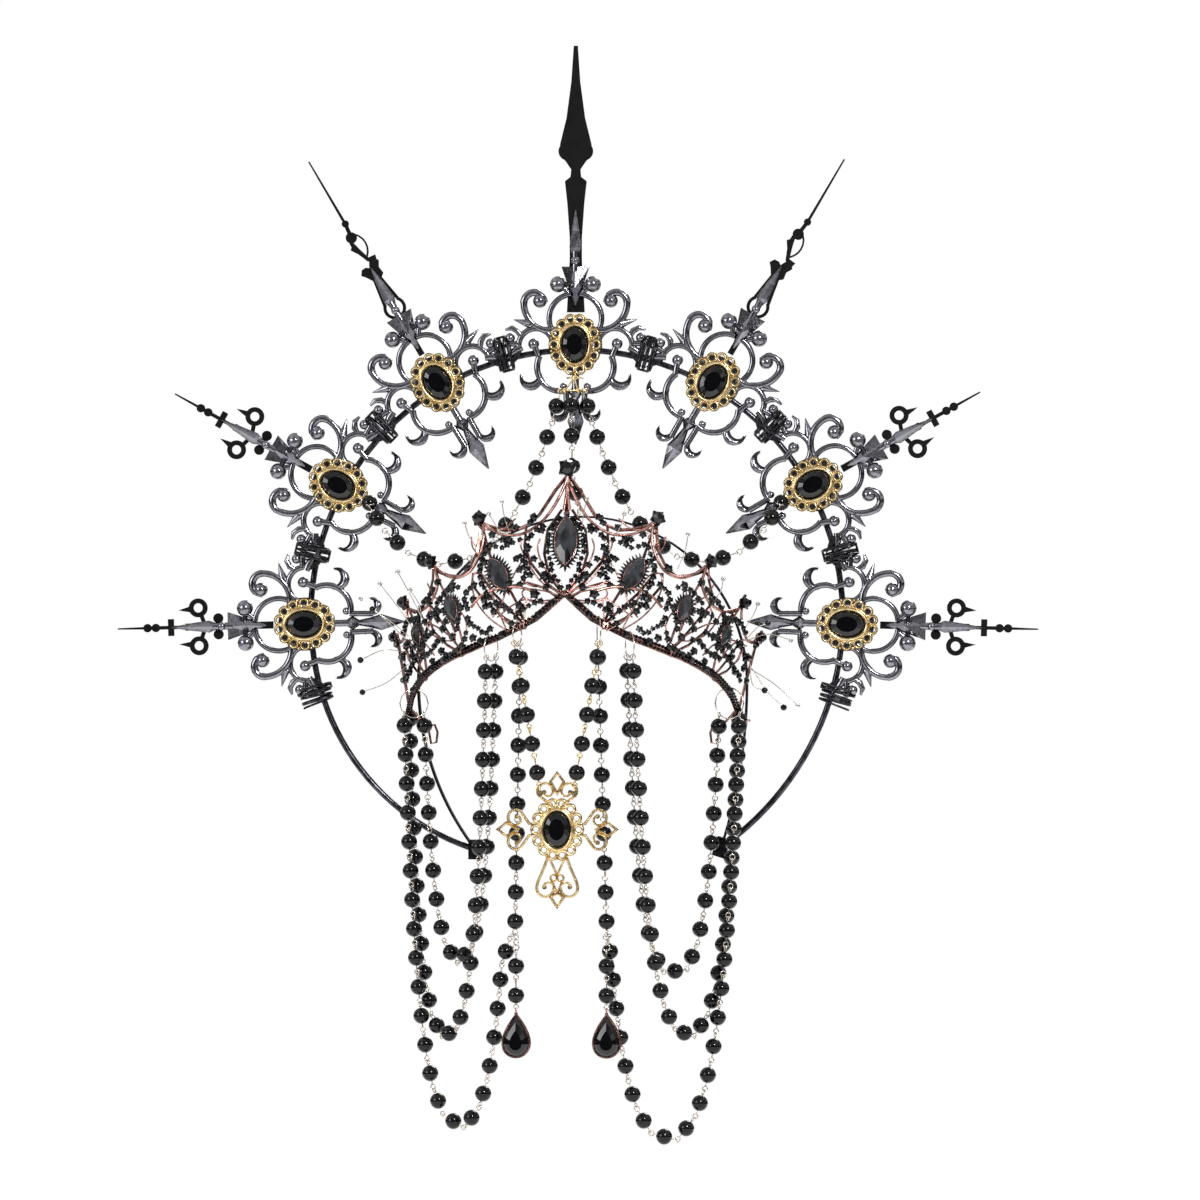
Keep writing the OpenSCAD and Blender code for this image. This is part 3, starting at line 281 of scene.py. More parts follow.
# %% Assign finishes by the record's slots
FINISHES = {"black_nickel": BLACK_NICKEL, "black_steel": BLACK_STEEL, "gunmetal": GUNMETAL,
            "black_lacquer": BLACK_LACQUER, "antique_gold": ANTIQUE_GOLD, "rose_gold": ROSE_GOLD,
            "black_crystal": BLACK_CRYSTAL, "grey_crystal": PAINTED_REFLECTION_CRYSTAL, "black_wire": BINDING_WIRE,
            "black_bead": BLACK_BEAD}

for part in frame["record"]["subparts"]:
    slots = NODES[part["node"]].data.materials
    slots.clear()
    slots.append(FINISHES[part["material_slot"]])

# %% [markdown]
# ## Growing pieces with Geometry Nodes
# Most of what is added repeats, or follows a wire. A bare mesh of points and edges says where
# it goes, and a node tree grows the shape there. Python could place every copy itself, but a
# tree keeps the sizes as named inputs and is quick to change. The grown mesh is then copied
# out as a plain mesh, so nothing live is left in the model.

# %% Bare skeletons, trees and pieces
def skeleton(name, paths=(), rings=(), **notes):
    """A bare mesh of open paths and closed rings. Each note is a value for every point."""
    points, edges = [], []
    for line, closed in [(p, False) for p in paths] + [(r, True) for r in rings]:
        first = len(points)
        points += [tuple(p) for p in line]
        edges += [(first + k, first + k + 1) for k in range(len(line) - 1)]
        if closed:
            edges.append((len(points) - 1, first))
    mesh = bpy.data.meshes.new(name)
    mesh.from_pydata(points, edges, [])
    for label, values in notes.items():
        flat = np.array(values, dtype=np.float32)
        kind, key = ("FLOAT_VECTOR", "vector") if flat.ndim == 2 else ("FLOAT", "value")
        mesh.attributes.new(label, kind, "POINT").data.foreach_set(key, flat.ravel())
    return mesh


def spots(name, points, **notes):
    """A bare mesh of loose points."""
    return skeleton(name, paths=[[p] for p in points], **notes)


def new_tree(name, **inputs):
    """A geometry tree with named inputs, and the function that closes it with its finish."""
    tree = bpy.data.node_groups.new(name, "GeometryNodeTree")
    tree.interface.new_socket("Geometry", in_out="INPUT", socket_type="NodeSocketGeometry")
    for label, value in inputs.items():
        kind = "NodeSocketInt" if isinstance(value, int) else "NodeSocketFloat"
        tree.interface.new_socket(label.replace("_", " "), in_out="INPUT", socket_type=kind).default_value = value
    tree.interface.new_socket("Finish", in_out="INPUT", socket_type="NodeSocketMaterial")
    tree.interface.new_socket("Geometry", in_out="OUTPUT", socket_type="NodeSocketGeometry")
    given = add(tree, "NodeGroupInput").outputs

    def close(shape):
        real = add(tree, "GeometryNodeRealizeInstances", {"Geometry": shape})
        coated = add(tree, "GeometryNodeSetMaterial", {"Geometry": real.outputs[0], "Material": given["Finish"]})
        add(tree, "NodeGroupOutput", {"Geometry": coated.outputs[0]})
        return tree
    return tree, given, close


def grow(tree, mesh, finish, **values):
    """Runs a tree on a bare mesh. What it grows comes back as a plain mesh."""
    maker = bpy.data.objects.new(mesh.name, mesh)
    bpy.context.scene.collection.objects.link(maker)
    modifier = maker.modifiers.new("grow", "NODES")
    modifier.node_group = tree
    wanted = {label.replace("_", " "): value for label, value in values.items()} | {"Finish": finish}
    for item in tree.interface.items_tree:
        if item.in_out == "INPUT" and item.name in wanted:
            modifier[item.identifier] = wanted[item.name]
    grown = bpy.data.meshes.new_from_object(maker.evaluated_get(bpy.context.evaluated_depsgraph_get()))
    bpy.data.objects.remove(maker)
    return grown


def piece(name, slot, *meshes, body="crown", instead_of=()):
    """Fuses grown meshes into one object that rides on a body."""
    fused, finishes = bmesh.new(), []
    for mesh in meshes:
        done = len(fused.faces)
        fused.from_mesh(mesh)
        fused.faces.ensure_lookup_table()
        for face in fused.faces[done:]:
            finish = mesh.materials[face.material_index]
            if finish not in finishes:
                finishes.append(finish)
            face.material_index = finishes.index(finish)
    made = bpy.data.objects.new(name, bpy.data.meshes.new(name))
    fused.to_mesh(made.data)
    fused.free()
    for finish in finishes:
        made.data.materials.append(finish)
    bpy.context.scene.collection.objects.link(made)
    if instead_of:
        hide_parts(*instead_of)
    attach(made, body)
    print(f"{name}: {len(made.data.polygons)} faces")
    return made

# %% [markdown]
# ## The two basic trees: beads and wire
# A bead is a ball set on each point, as large as the point's size says. Wire is an edge path
# turned into a curve and swept with a small circle. Drawn wire is round, and a sweep gives it a
# true round section that catches the light in one clean line.

# %% Bead tree and wire tree
def bead_tree():
    tree, given, close = new_tree("Set beads", Sides=16)
    rings = add(tree, "ShaderNodeMath", {0: given["Sides"], 1: 0.65}, operation="MULTIPLY").outputs[0]
    ball = add(tree, "GeometryNodeMeshUVSphere", {"Segments": given["Sides"], "Rings": rings, "Radius": 1.0})
    soft = add(tree, "GeometryNodeSetShadeSmooth", {"Geometry": ball.outputs["Mesh"]})
    size = add(tree, "GeometryNodeInputNamedAttribute", {"Name": "size"}, data_type="FLOAT").outputs["Attribute"]
    return close(add(tree, "GeometryNodeInstanceOnPoints", {
        "Points": given["Geometry"], "Instance": soft.outputs[0], "Scale": size}).outputs[0])


def wire_tree():
    tree, given, close = new_tree("Draw wire", Diameter=0.0006, Sides=6)
    radius = add(tree, "ShaderNodeMath", {0: given["Diameter"], 1: 0.5}, operation="MULTIPLY").outputs[0]
    path = add(tree, "GeometryNodeMeshToCurve", {"Mesh": given["Geometry"]}).outputs["Curve"]
    round_bar = add(tree, "GeometryNodeCurvePrimitiveCircle", {"Resolution": given["Sides"], "Radius": radius})
    swept = add(tree, "GeometryNodeCurveToMesh", {
        "Curve": path, "Profile Curve": round_bar.outputs["Curve"], "Fill Caps": True}).outputs["Mesh"]
    return close(add(tree, "GeometryNodeSetShadeSmooth", {"Geometry": swept}).outputs[0])


BEADS = bead_tree()
WIRE = wire_tree()
print("trees:", [t.name for t in bpy.data.node_groups])

# %% [markdown]
# ## Read the strings' links from the CAD
# Each string was built as linked eye pins, one solid for each bead with its two eyes. Its mesh
# is loose triangles, so the corners that meet are joined first, and each connected island is
# one link. A ball is fitted to the points that lie at a bead's radius. What stands out along
# the link's axis is the pin, and the last of it on each side is an eye.

# %% Islands of a node, and the bead and eyes in each
BEAD_R = 4.0 * MM
PIN_R = 0.3 * MM


def islands(node):
    """The corners of each separate solid in a CAD node."""
    mesh = NODES[node].data
    corners = np.empty(len(mesh.vertices) * 3, np.float32)
    mesh.vertices.foreach_get("co", corners)
    corners = corners.reshape(-1, 3)
    # Corners within 2 thousandths of a millimetre are one corner
    grid = np.round(corners / 2e-6).astype(np.int64)
    _, first, same = np.unique(grid, axis=0, return_index=True, return_inverse=True)
    same = same.ravel()
    loops = np.empty(len(mesh.loops), np.int32)
    mesh.loops.foreach_get("vertex_index", loops)
    sides = same[loops].reshape(-1, 3)
    edges = np.concatenate([sides[:, :2], sides[:, 1:]])
    label = np.arange(len(first))
    while True:
        low = label[edges].min(axis=1)
        fresh = label.copy()
        np.minimum.at(fresh, edges[:, 0], low)
        np.minimum.at(fresh, edges[:, 1], low)
        fresh = fresh[fresh]
        if (fresh == label).all():
            break
        label = fresh
    return [corners[first[label == k]].astype(float) for k in np.unique(label)]


def fitted_ball(points):
    """Middle of the bead in an island, or None if it has none."""
    middle = (points.min(axis=0) + points.max(axis=0)) / 2
    for _ in range(6):
        near = points[abs(np.linalg.norm(points - middle, axis=1) - BEAD_R) < 0.6 * MM]
        if len(near) < 40:
            return None
        table = np.column_stack([2 * near, np.ones(len(near))])
        middle = np.linalg.lstsq(table, (near ** 2).sum(axis=1), rcond=None)[0][:3]
    return middle


def ring_points(middle, first, second, radius, count=14):
    turns = [2 * math.pi * k / count for k in range(count)]
    return [middle + radius * (math.cos(t) * first + math.sin(t) * second) for t in turns]


def read_link(points, beads, pins, eyes):
    """Adds one link's bead, pins and eyes to the lists. A link with no bead is a plain ring."""
    middle = fitted_ball(points)
    if middle is None:
        centre = (points.min(axis=0) + points.max(axis=0)) / 2
        flat = np.linalg.svd(points - points.mean(axis=0), full_matrices=False)[2]
        span = np.linalg.norm((points - centre) @ flat[:2].T, axis=1)
        eyes.append(ring_points(centre, flat[0], flat[1], span.max() - PIN_R))
        return
    beads.append(middle)
    apart = points - middle
    reach = np.linalg.norm(apart, axis=1)
    axis = apart[reach.argmax()] / reach.max()
    for way in (axis, -axis):
        along = apart @ way
        outer = apart[along > BEAD_R + 0.15 * MM]
        if len(outer) < 6:
            continue
        aside = outer - np.outer(outer @ way, way)
        wide = np.linalg.norm(aside, axis=1)
        across = aside[wide.argmax()] / wide.max()
        radius = wide.max() - PIN_R
        eye = middle + way * ((outer @ way).max() - wide.max())
        eyes.append(ring_points(eye, way, across, radius))
        pins.append([middle + way * (BEAD_R - 0.4 * MM), eye - way * (radius - 0.1 * MM)])


def read_string(node):
    beads, pins, eyes = [], [], []
    for island in islands(node):
        read_link(island, beads, pins, eyes)
    return beads, pins, eyes

# %% [markdown]
# ## Bead strings
# The strings carry much of the crown's look: round black glass beads on wire eye pins. The CAD
# beads are coarse, so smooth ones are set on the same middles with the bead tree, and the pins
# and eyes are drawn again as round wire on the same lines. Each string is one fused piece that
# stands for its CAD node. The pendant strings have pale gold wire, the others grey wire.

# %% Draw the eleven strings
STRINGS = {"halo_swag_left": SILVER_WIRE, "halo_swag_right": SILVER_WIRE, "centre_string": SILVER_WIRE,
           "short_swag_left": SILVER_WIRE, "short_swag_right": SILVER_WIRE, "middle_swag_left": SILVER_WIRE,
           "middle_swag_right": SILVER_WIRE, "long_swag_left": SILVER_WIRE, "long_swag_right": SILVER_WIRE,
           "pendant_string_left": GOLD_WIRE, "pendant_string_right": GOLD_WIRE}

for node, wire in STRINGS.items():
    beads, pins, eyes = read_string(node)
    balls = spots(node + "_beads", beads, size=[BEAD_R] * len(beads))
    piece(node + "_fine", "black_bead", grow(BEADS, balls, BLACK_BEAD, Sides=16),
          grow(WIRE, skeleton(node + "_wire", pins, eyes), wire, Diameter=2 * PIN_R, Sides=6), instead_of=[node])
    print("   ", len(beads), "beads,", len(eyes), "eyes and rings")

# %% [markdown]
# ## The medallions' own plane
# The seven medallions are one casting set at seven places round the halo. A sketch of it is
# kept in its own millimetres, u to the right and v outward. It is laid out flat in the halo's
# plane, and the tree tips the whole thing upright at the end, because a flat sketch keeps the
# sweep's section level without any further care.

# %% From a medallion's sketch to the halo
HALO_DROP, MEDALLION_R, STEP = 49.0, 134.5, 30.5
CAST_MIDDLE = -3.1
TURNS = [math.radians((k - 4) * STEP) for k in range(1, 8)]


def laid_flat(turn, u, v):
    """A medallion's sketch point in the halo's plane, seen from the front."""
    s, c = math.sin(turn), math.cos(turn)
    return np.array([(MEDALLION_R + v) * s + u * c, (MEDALLION_R + v) * c - u * s - HALO_DROP, 0.0]) * MM


def upright(turn, u, v, y):
    """The same point, standing at depth y in millimetres."""
    flat = laid_flat(turn, u, v)
    return np.array([flat[0], y * MM, flat[1]])


def arc(middle, radius, start, end, count=22):
    turns = [math.radians(start + (end - start) * k / (count - 1)) for k in range(count)]
    return [(middle[0] + radius * math.cos(t), middle[1] + radius * math.sin(t)) for t in turns]


def both_sides(line):
    return [line, [(-u, v) for u, v in line]]

# %% [markdown]
# ## Rounded scrollwork
# The real scrolls are cast from carved wax: rounded bars with a groove down the middle, which
# gives the double line of light on every curl. The CAD scrolls are flat-faced. Each is
# sleeved in a swept bar whose section is round with a pinch in the middle. The section is
# worked out in the tree, by pulling in the points of a circle that lie near its middle.

# %% Grooved scroll tree
def scroll_tree():
    tree, given, close = new_tree("Grooved scroll", Thickness=1.12, Groove=0.3, Depth=0.0031)
    circle = add(tree, "GeometryNodeCurvePrimitiveCircle", {"Resolution": 16, "Radius": 0.5}).outputs["Curve"]
    spot = add(tree, "ShaderNodeSeparateXYZ", {"Vector": add(tree, "GeometryNodeInputPosition").outputs[0]}).outputs
    # 1 on the middle line, 0 from a quarter of the width outward
    middle = add(tree, "ShaderNodeMapRange", {"Value": add(tree, "ShaderNodeMath", {0: spot["Y"]},
                 operation="ABSOLUTE").outputs[0], "From Min": 0.0, "From Max": 0.24, "To Min": 1.0, "To Max": 0.0},
                 interpolation_type="SMOOTHSTEP").outputs["Result"]
    pinch = add(tree, "ShaderNodeMath", {0: middle, 1: given["Groove"]}, operation="MULTIPLY").outputs[0]
    keep = add(tree, "ShaderNodeMath", {0: 1.0, 1: pinch}, operation="SUBTRACT").outputs[0]
    thick = add(tree, "ShaderNodeMath", {0: keep, 1: given["Thickness"]}, operation="MULTIPLY").outputs[0]
    across = add(tree, "ShaderNodeMath", {0: spot["X"], 1: thick}, operation="MULTIPLY").outputs[0]
    section = add(tree, "GeometryNodeSetPosition", {"Geometry": circle, "Position": add(
        tree, "ShaderNodeCombineXYZ", {"X": across, "Y": spot["Y"]}).outputs[0]}).outputs[0]
    path = add(tree, "GeometryNodeMeshToCurve", {"Mesh": given["Geometry"]}).outputs["Curve"]
    level = add(tree, "GeometryNodeSetCurveNormal", {"Curve": path})
    level.mode = "Z_UP"
    width = add(tree, "GeometryNodeInputNamedAttribute", {"Name": "width"}, data_type="FLOAT").outputs["Attribute"]
    swept = add(tree, "GeometryNodeCurveToMesh", {
        "Curve": level.outputs[0], "Profile Curve": section, "Scale": width, "Fill Caps": True})
    soft = add(tree, "GeometryNodeSetShadeSmooth", {"Geometry": swept.outputs["Mesh"]}).outputs[0]
    front = add(tree, "ShaderNodeMath", {0: given["Depth"], 1: -1.0}, operation="MULTIPLY").outputs[0]
    stand = add(tree, "GeometryNodeTransform", {"Geometry": soft, "Rotation": (math.pi / 2, 0, 0), "Translation": add(
        tree, "ShaderNodeCombineXYZ", {"Y": front}).outputs[0]}).outputs[0]
    return close(stand)


SCROLL = scroll_tree()

# %% Scrolls of the seven medallions
# Right half of the casting: middle, radius, start, end and width of each arc
SCROLLS = [((1, 13), 12, -42, 84, 2.3), ((12, 20.6), 13.6, -102, 0, 2.9), ((20.4, 20.6), 5.2, 0, 140, 3.2),
           ((19.6, -0.6), 8.6, -15, 160, 2.4), ((7, -11), 12, -100, 27, 2.6), ((20.4, 20.6), 5.2, 130, 176, 2.6)]
BARS = [((18.2, -6), (20.6, 0.2), 2.6), ((27.6, 0.5), (34.3, 0.5), 2.4), ((4.3, -34), (4.6, -22.4), 2.4)]
STEMS = [((0, -12), (0, -22), 3.0), ((0, 36), (0, 46), 3.0), ((-8.6, 29.8), (8.6, 29.8), 2.0)]
# Crescents and the leaf beside each junction swell in the middle or taper: a line, its widths at
# the start, in the middle and at the end
SWELLS = [(arc((22.2, -16.2), 4.7, -205, 12), (1.6, 3.4, 0.7)), (arc((8.2, -33.2), 3.6, -190, 5), (1.4, 2.8, 0.7)),
          ([(3.4, 25.2), (4.9, 27.2), (6.6, 28.9), (8.6, 29.8)], (2.0, 2.4, 2.0)),
          ([(26.5, -1.2), (29.5, -2.6), (32.6, -4.8), (35.2, -8.0)], (3.0, 3.4, 0.5)),
          ([(26.5, 3.5), (28.6, 6.8), (31.6, 8.3), (34.8, 7.4)], (2.0, 3.0, 0.6))]


def scroll_lines():
    """Each line of the casting with the width at each of its points."""
    lines = []
    for middle, radius, start, end, width in SCROLLS:
        lines += [(line, [width] * len(line)) for line in both_sides(arc(middle, radius, start, end))]
    for start, end, width in BARS:
        lines += [(line, [width] * 2) for line in both_sides([start, end])]
    for line, swell in SWELLS:
        along = np.interp(np.linspace(0, 1, len(line)), (0, 0.5, 1), swell)
        lines += [(side, list(along)) for side in both_sides(line)]
    return lines + [([start, end], [width] * 2) for start, end, width in STEMS]


paths, widths = [], []
for turn in TURNS:
    for line, across in scroll_lines():
        paths.append([laid_flat(turn, u, v) for u, v in line])
        # Half a millimetre wider than the CAD bar, so that the bar lies wholly inside
        widths += [(width * 1.08 + 0.55) * MM for width in across]
scrollwork = grow(SCROLL, skeleton("scrolls", paths, width=widths), GUNMETAL, Thickness=1.0, Groove=0.34)
spans = np.array([v.co[:] for v in scrollwork.vertices])
print("scroll depth in mm:", (spans[:, 1].min() * 1000).round(2), (spans[:, 1].max() * 1000).round(2))

# %% [markdown]
# ## Balls and crescents of the casting
# Every scroll ends in a polished ball. The CAD balls are right in size but faceted, so smooth
# ones a twentieth of a millimetre larger are set over them with the bead tree, each at its
# place on the seven medallions.

# %% Polished balls
BALLS = [(8.6, 29.8, 4.0), (17.6, 21.6, 3.4), (20.7, 0.4, 2.7), (34.3, 0.5, 1.9), (5.9, -20.7, 1.8), (32.4, 3.4, 2.4)]
middles, sizes = [], []
for turn in TURNS:
    for u, v, radius in BALLS:
        for side in (-1, 1):
            middles.append(upright(turn, side * u, v, -(1.8 + 2.6 * 0.55)))
            sizes.append((radius + 0.05) * MM)
    middles.append(upright(turn, 0, 41.5, -3.9))
    sizes.append(2.15 * MM)
balls = grow(BEADS, spots("balls", middles, size=sizes), GUNMETAL, Sides=18)
piece("medallion_scrollwork", "gunmetal", scrollwork, balls)

# %% [markdown]
# ## Wound wire at the junctions
# Where two medallions meet, black wire is wound round both their tips and the halo. The CAD has
# a plain hoop or two there. A long spiral with a stadium-like section is what a hand winds, so
# its points are worked out turn by turn, and a small fixed wobble keeps it from looking machined.

# %% Windings at eight junctions
# The section's middle radius, half its width and half its depth, and where it lies front to back
WOUND_R, WOUND_HALF, WOUND_DEPTH, WOUND_Y = 134.75, 8.15, 4.1, -1.65
COILS, COIL_STEPS, WOUND_LENGTH = 6, 18, 8.6
spirals = []
for junction in [(k - 3.5) * STEP for k in range(8)]:
    spiral = []
    for k in range(COILS * COIL_STEPS + 1):
        turn = 2 * math.pi * k / COIL_STEPS
        along = WOUND_LENGTH * (k / (COILS * COIL_STEPS) - 0.5) + 0.5 * math.sin(turn * 0.37 + junction)
        wobble = 0.93 + 0.06 * math.sin(k * 0.7)
        radial = WOUND_R + WOUND_HALF * math.cos(turn) * wobble
        a = math.radians(junction) + along / MEDALLION_R
        spiral.append(np.array([radial * math.sin(a), WOUND_Y + WOUND_DEPTH * math.sin(turn),
                                radial * math.cos(a) - HALO_DROP]) * MM)
    spirals.append(spiral)
piece("junction_windings", "black_wire", grow(WIRE, skeleton("spirals", spirals), BINDING_WIRE, Diameter=1.15 * MM,
                                              Sides=7))

# %% [markdown]
# ## Filigree round the bezels
# Each bezel is a thin pressed rosette: a scalloped edge of wire loops round a smooth oval rim
# that holds the stone. The CAD plate has the loops' openings. Round wire over the loops, a
# grain of gold between each two, and a polished rim on the collar give it its fine sparkle.

# %% Gold wires and grains of the bezels
STONE_A, STONE_B = 6.65, 9.0
RIM = (STONE_A + 0.8, STONE_B + 0.8)
LOOPS = (STONE_A + 0.25 + 1.1 + 2.4, STONE_B + 0.25 + 1.1 + 2.4)


def oval(a, b, count, start=0.0):
    turns = [2 * math.pi * k / count + start for k in range(count)]
    return [(a * math.cos(t), b * math.sin(t)) for t in turns]


def bezel_wires(stand, face):
    """Loops, rim and grains of one bezel. stand places a sketch point at a depth."""
    loops = [[stand(x + 2.02 * math.cos(t), y + 2.02 * math.sin(t), face) for t in np.arange(14) * math.pi / 7]
             for x, y in oval(*LOOPS, 14)]
    inner = [stand(u, v, face - 0.1) for u, v in oval(RIM[0] + 1.0, RIM[1] + 1.0, 40)]
    rim = [stand(u, v, face - 1.75) for u, v in oval(*RIM, 40)]
    grains = [stand(u, v, face - 0.2) for u, v in oval(LOOPS[0] + 1.7, LOOPS[1] + 1.7, 14, math.pi / 14)]
    grains += [stand(u, v, face - 0.3) for u, v in oval(LOOPS[0] - 1.0, LOOPS[1] - 1.0, 14, math.pi / 14)]
    return loops + [inner], rim, grains


loops, rims, grains = [], [], []
for turn in TURNS:
    more, rim, dots = bezel_wires(lambda u, v, y, t=turn: upright(t, u, v, y), -5.9)
    loops += more
    rims.append(rim)
    grains += dots
piece("bezel_filigree", "antique_gold",
      grow(WIRE, skeleton("loops", rings=loops), ANTIQUE_GOLD, Diameter=0.6 * MM, Sides=6),
      grow(WIRE, skeleton("rims", rings=rims), ANTIQUE_GOLD, Diameter=1.25 * MM, Sides=10),
      grow(BEADS, spots("grains", grains, size=[0.55 * MM] * len(grains)), ANTIQUE_GOLD, Sides=8))

# %% [markdown]
# ## The cross pendant
# The cross is pressed filigree too, with the same rosette in its middle. Its outer scrolls are
# twisted wire that looks like a row of tiny grains. Balls one by one on the scrolls would give
# that look, and a tree that walks along a curve at a fixed pitch sets them evenly.

# %% Row tree: small shapes at a fixed pitch along a path
def row_tree():
    tree, given, close = new_tree("Row along a path", Pitch=0.001, Bottom=0.0005, Top=0.0003, Height=0.0004, Sides=6)
    path = add(tree, "GeometryNodeMeshToCurve", {"Mesh": given["Geometry"]}).outputs["Curve"]
    walk = add(tree, "GeometryNodeCurveToPoints", {"Curve": path, "Length": given["Pitch"]}, mode="LENGTH")
    facing = add(tree, "GeometryNodeInputNamedAttribute", {"Name": "facing"}, data_type="FLOAT_VECTOR")
    turned = add(tree, "FunctionNodeAlignRotationToVector", {"Vector": facing.outputs["Attribute"]}, axis="Z")
    gem = add(tree, "GeometryNodeMeshCone", {"Vertices": given["Sides"], "Radius Bottom": given["Bottom"],
                                             "Radius Top": given["Top"], "Depth": given["Height"]}).outputs["Mesh"]
    return close(add(tree, "GeometryNodeInstanceOnPoints", {
        "Points": walk.outputs["Points"], "Instance": gem, "Rotation": turned.outputs[0]}).outputs[0])


ROW = row_tree()

# %% Wires and grains of the cross
STONE_LOW, STONE_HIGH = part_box("cross_stone")
CROSS_MIDDLE = ((STONE_LOW.x + STONE_HIGH.x) / 2 / MM, (STONE_LOW.z + STONE_HIGH.z) / 2 / MM)
CROSS_FACE = STONE_HIGH.y / MM - 0.05


def on_cross(u, v, y):
    return np.array([CROSS_MIDDLE[0] + u, y, CROSS_MIDDLE[1] + v]) * MM


def turned(line, quarter, out=0.0):
    """A lobe's line turned to one of the arms."""
    moved = [(u, v + out) for u, v in line]
    return {0: moved, 1: [(v, -u) for u, v in moved], -1: [(-v, u) for u, v in moved]}[quarter]


LOBE = [arc((5.8, 18.6), 3.8, -45, 182, 16), [(2.6, 11.8), (8.7, 16.2)], arc((4.4, 18.6), 2.4, 178, 340, 12)]
TIP = [(0, 27.4), (3.2, 23.2), (0, 17.5), (-3.2, 23.2), (0, 27.4)]
FOOT_LINES = [[(4.2, -12.5), (6.4, -18.5), (9.8, -26.4)], arc((5.8, -28.4), 4.2, -182, 30, 16),
              arc((4.2, -28.4), 2.6, 20, 182, 12), [(3.8, -14), (0, -22.2)], [(2.6, -25), (0, -31.2)],
              arc((1.6, -23.6), 1.55, 0, 360, 12)]
FOOT_TIP = [(0, -37.7), (3.1, -33.1), (0, -30.6), (-3.1, -33.1), (0, -37.7)]

cross_lines = []
for quarter in (0, 1, -1):
    out = 0.0 if quarter == 0 else 1.6
    for line in LOBE:
        cross_lines += [turned(side, quarter, out) for side in both_sides(line)]
    cross_lines.append(turned(TIP, quarter, out))
for line in FOOT_LINES:
    cross_lines += both_sides(line)
cross_lines.append(FOOT_TIP)
print("cross middle in mm:", CROSS_MIDDLE, "face", round(CROSS_FACE, 2), "lines", len(cross_lines))
more, rim, dots = bezel_wires(on_cross, CROSS_FACE + 0.2)
ropes = [[on_cross(u, v, CROSS_FACE - 0.1) for u, v in line] for line in cross_lines]
facing = [(0, -1, 0)] * sum(len(line) for line in ropes)
piece("cross_filigree", "antique_gold",
      grow(WIRE, skeleton("cross_wires", ropes, more), ANTIQUE_GOLD, Diameter=0.75 * MM, Sides=6),
      grow(ROW, skeleton("cross_rope", ropes, facing=facing), ANTIQUE_GOLD, Pitch=0.95 * MM, Bottom=0.62 * MM,
           Top=0.25 * MM, Height=0.7 * MM, Sides=7),
      grow(WIRE, skeleton("cross_rim", rings=[rim]), ANTIQUE_GOLD, Diameter=1.25 * MM, Sides=10),
      grow(BEADS, spots("cross_grains", dots, size=[0.55 * MM] * len(dots)), ANTIQUE_GOLD, Sides=8), body="pendant")

# %% [markdown]
# ## The tiara's wall
# The tiara stands on a leaning cone: its wires, stones and rims all lie on that one wall. Two
# numbers say where something is on it, the angle from the front and the height up the wall.
# Small things were counted in the photograph, so a second function finds the wall's place
# behind a pixel by trying nearby places until they meet it.

# %% Places on the tiara's wall
TIARA_R, TIARA_Z = 82.0, -106.0
FLARE, TILT = math.radians(12), math.radians(30)
CAMERA_TURN = math.radians(5)


def on_wall(angle, up, out=0.0):
    """A point on the wall, in millimetres. The angle is in degrees, right of the front."""
    a = math.radians(angle)
    r = TIARA_R + up * math.sin(FLARE) + out * math.cos(FLARE)
    h = up * math.cos(FLARE) - out * math.sin(FLARE)
    return np.array([r * math.sin(a), -r * math.cos(a) * math.cos(TILT) + h * math.sin(TILT),
                     TIARA_Z + r * math.cos(a) * math.sin(TILT) + h * math.cos(TILT)])


def wall_out(angle):
    way = on_wall(angle, 0, 1) - on_wall(angle, 0, 0)
    return way / np.linalg.norm(way)


def photo_pixel(point):
    """Where a point in millimetres shows in the photograph's 1200 by 1200 frame."""
    across = (point[0] * math.cos(CAMERA_TURN) + point[1] * math.sin(CAMERA_TURN)) / 0.494
    return np.array([576 + across, 617 - (point[2] + 49) / 0.494])


def wall_at(px, py):
    """The wall's angle and height behind a pixel, found by Newton's steps."""
    spot = np.array([math.degrees(math.asin(max(-0.95, min(0.95, (px - 563) / 195)))), 35.0])
    for _ in range(25):
        here = photo_pixel(on_wall(*spot))
        slope = np.column_stack([(photo_pixel(on_wall(spot[0] + 0.1, spot[1])) - here) / 0.1,
                                 (photo_pixel(on_wall(spot[0], spot[1] + 0.1)) - here) / 0.1])
        step = np.linalg.solve(slope, np.array([px, py]) - here)
        spot = spot + np.clip(step, -8, 8)
    return spot


print("pixel (719, 633) is at angle and height", wall_at(719, 633).round(1))

# %% [markdown]
# ## Rows of tiny stones on the foot band
# The band along the tiara's foot is set with two rows of tiny black stones that run its whole
# length. They are the same stone again and again at one pitch, which is what the row tree is
# for. Each is a little cut cone that faces outward from the wall.

# %% Pave on the foot band
FOOT = [(0, 27), (10, 14.3), (22, 8), (34, 6), (46, 5.8), (59, 5.3), (70, 3.4), (76, 0.8), (90, 0)]


def foot(angle):
    return float(np.interp(abs(angle), [f[0] for f in FOOT], [f[1] for f in FOOT]))


rows, facing = [], []
for lift in (0.95, 3.05):
    for side in (-1, 1):
        turns = [side * a for a in np.linspace(0.6, 84, 60)]
        rows.append([on_wall(a, foot(a) + lift, 1.0) * MM for a in turns])
        facing += [tuple(wall_out(a)) for a in turns]
piece("foot_band_stones", "black_crystal", grow(
    ROW, skeleton("foot_rows", rows, facing=facing), BLACK_CRYSTAL, Pitch=2.05 * MM, Bottom=0.95 * MM, Top=0.5 * MM,
    Height=1.1 * MM, Sides=6))

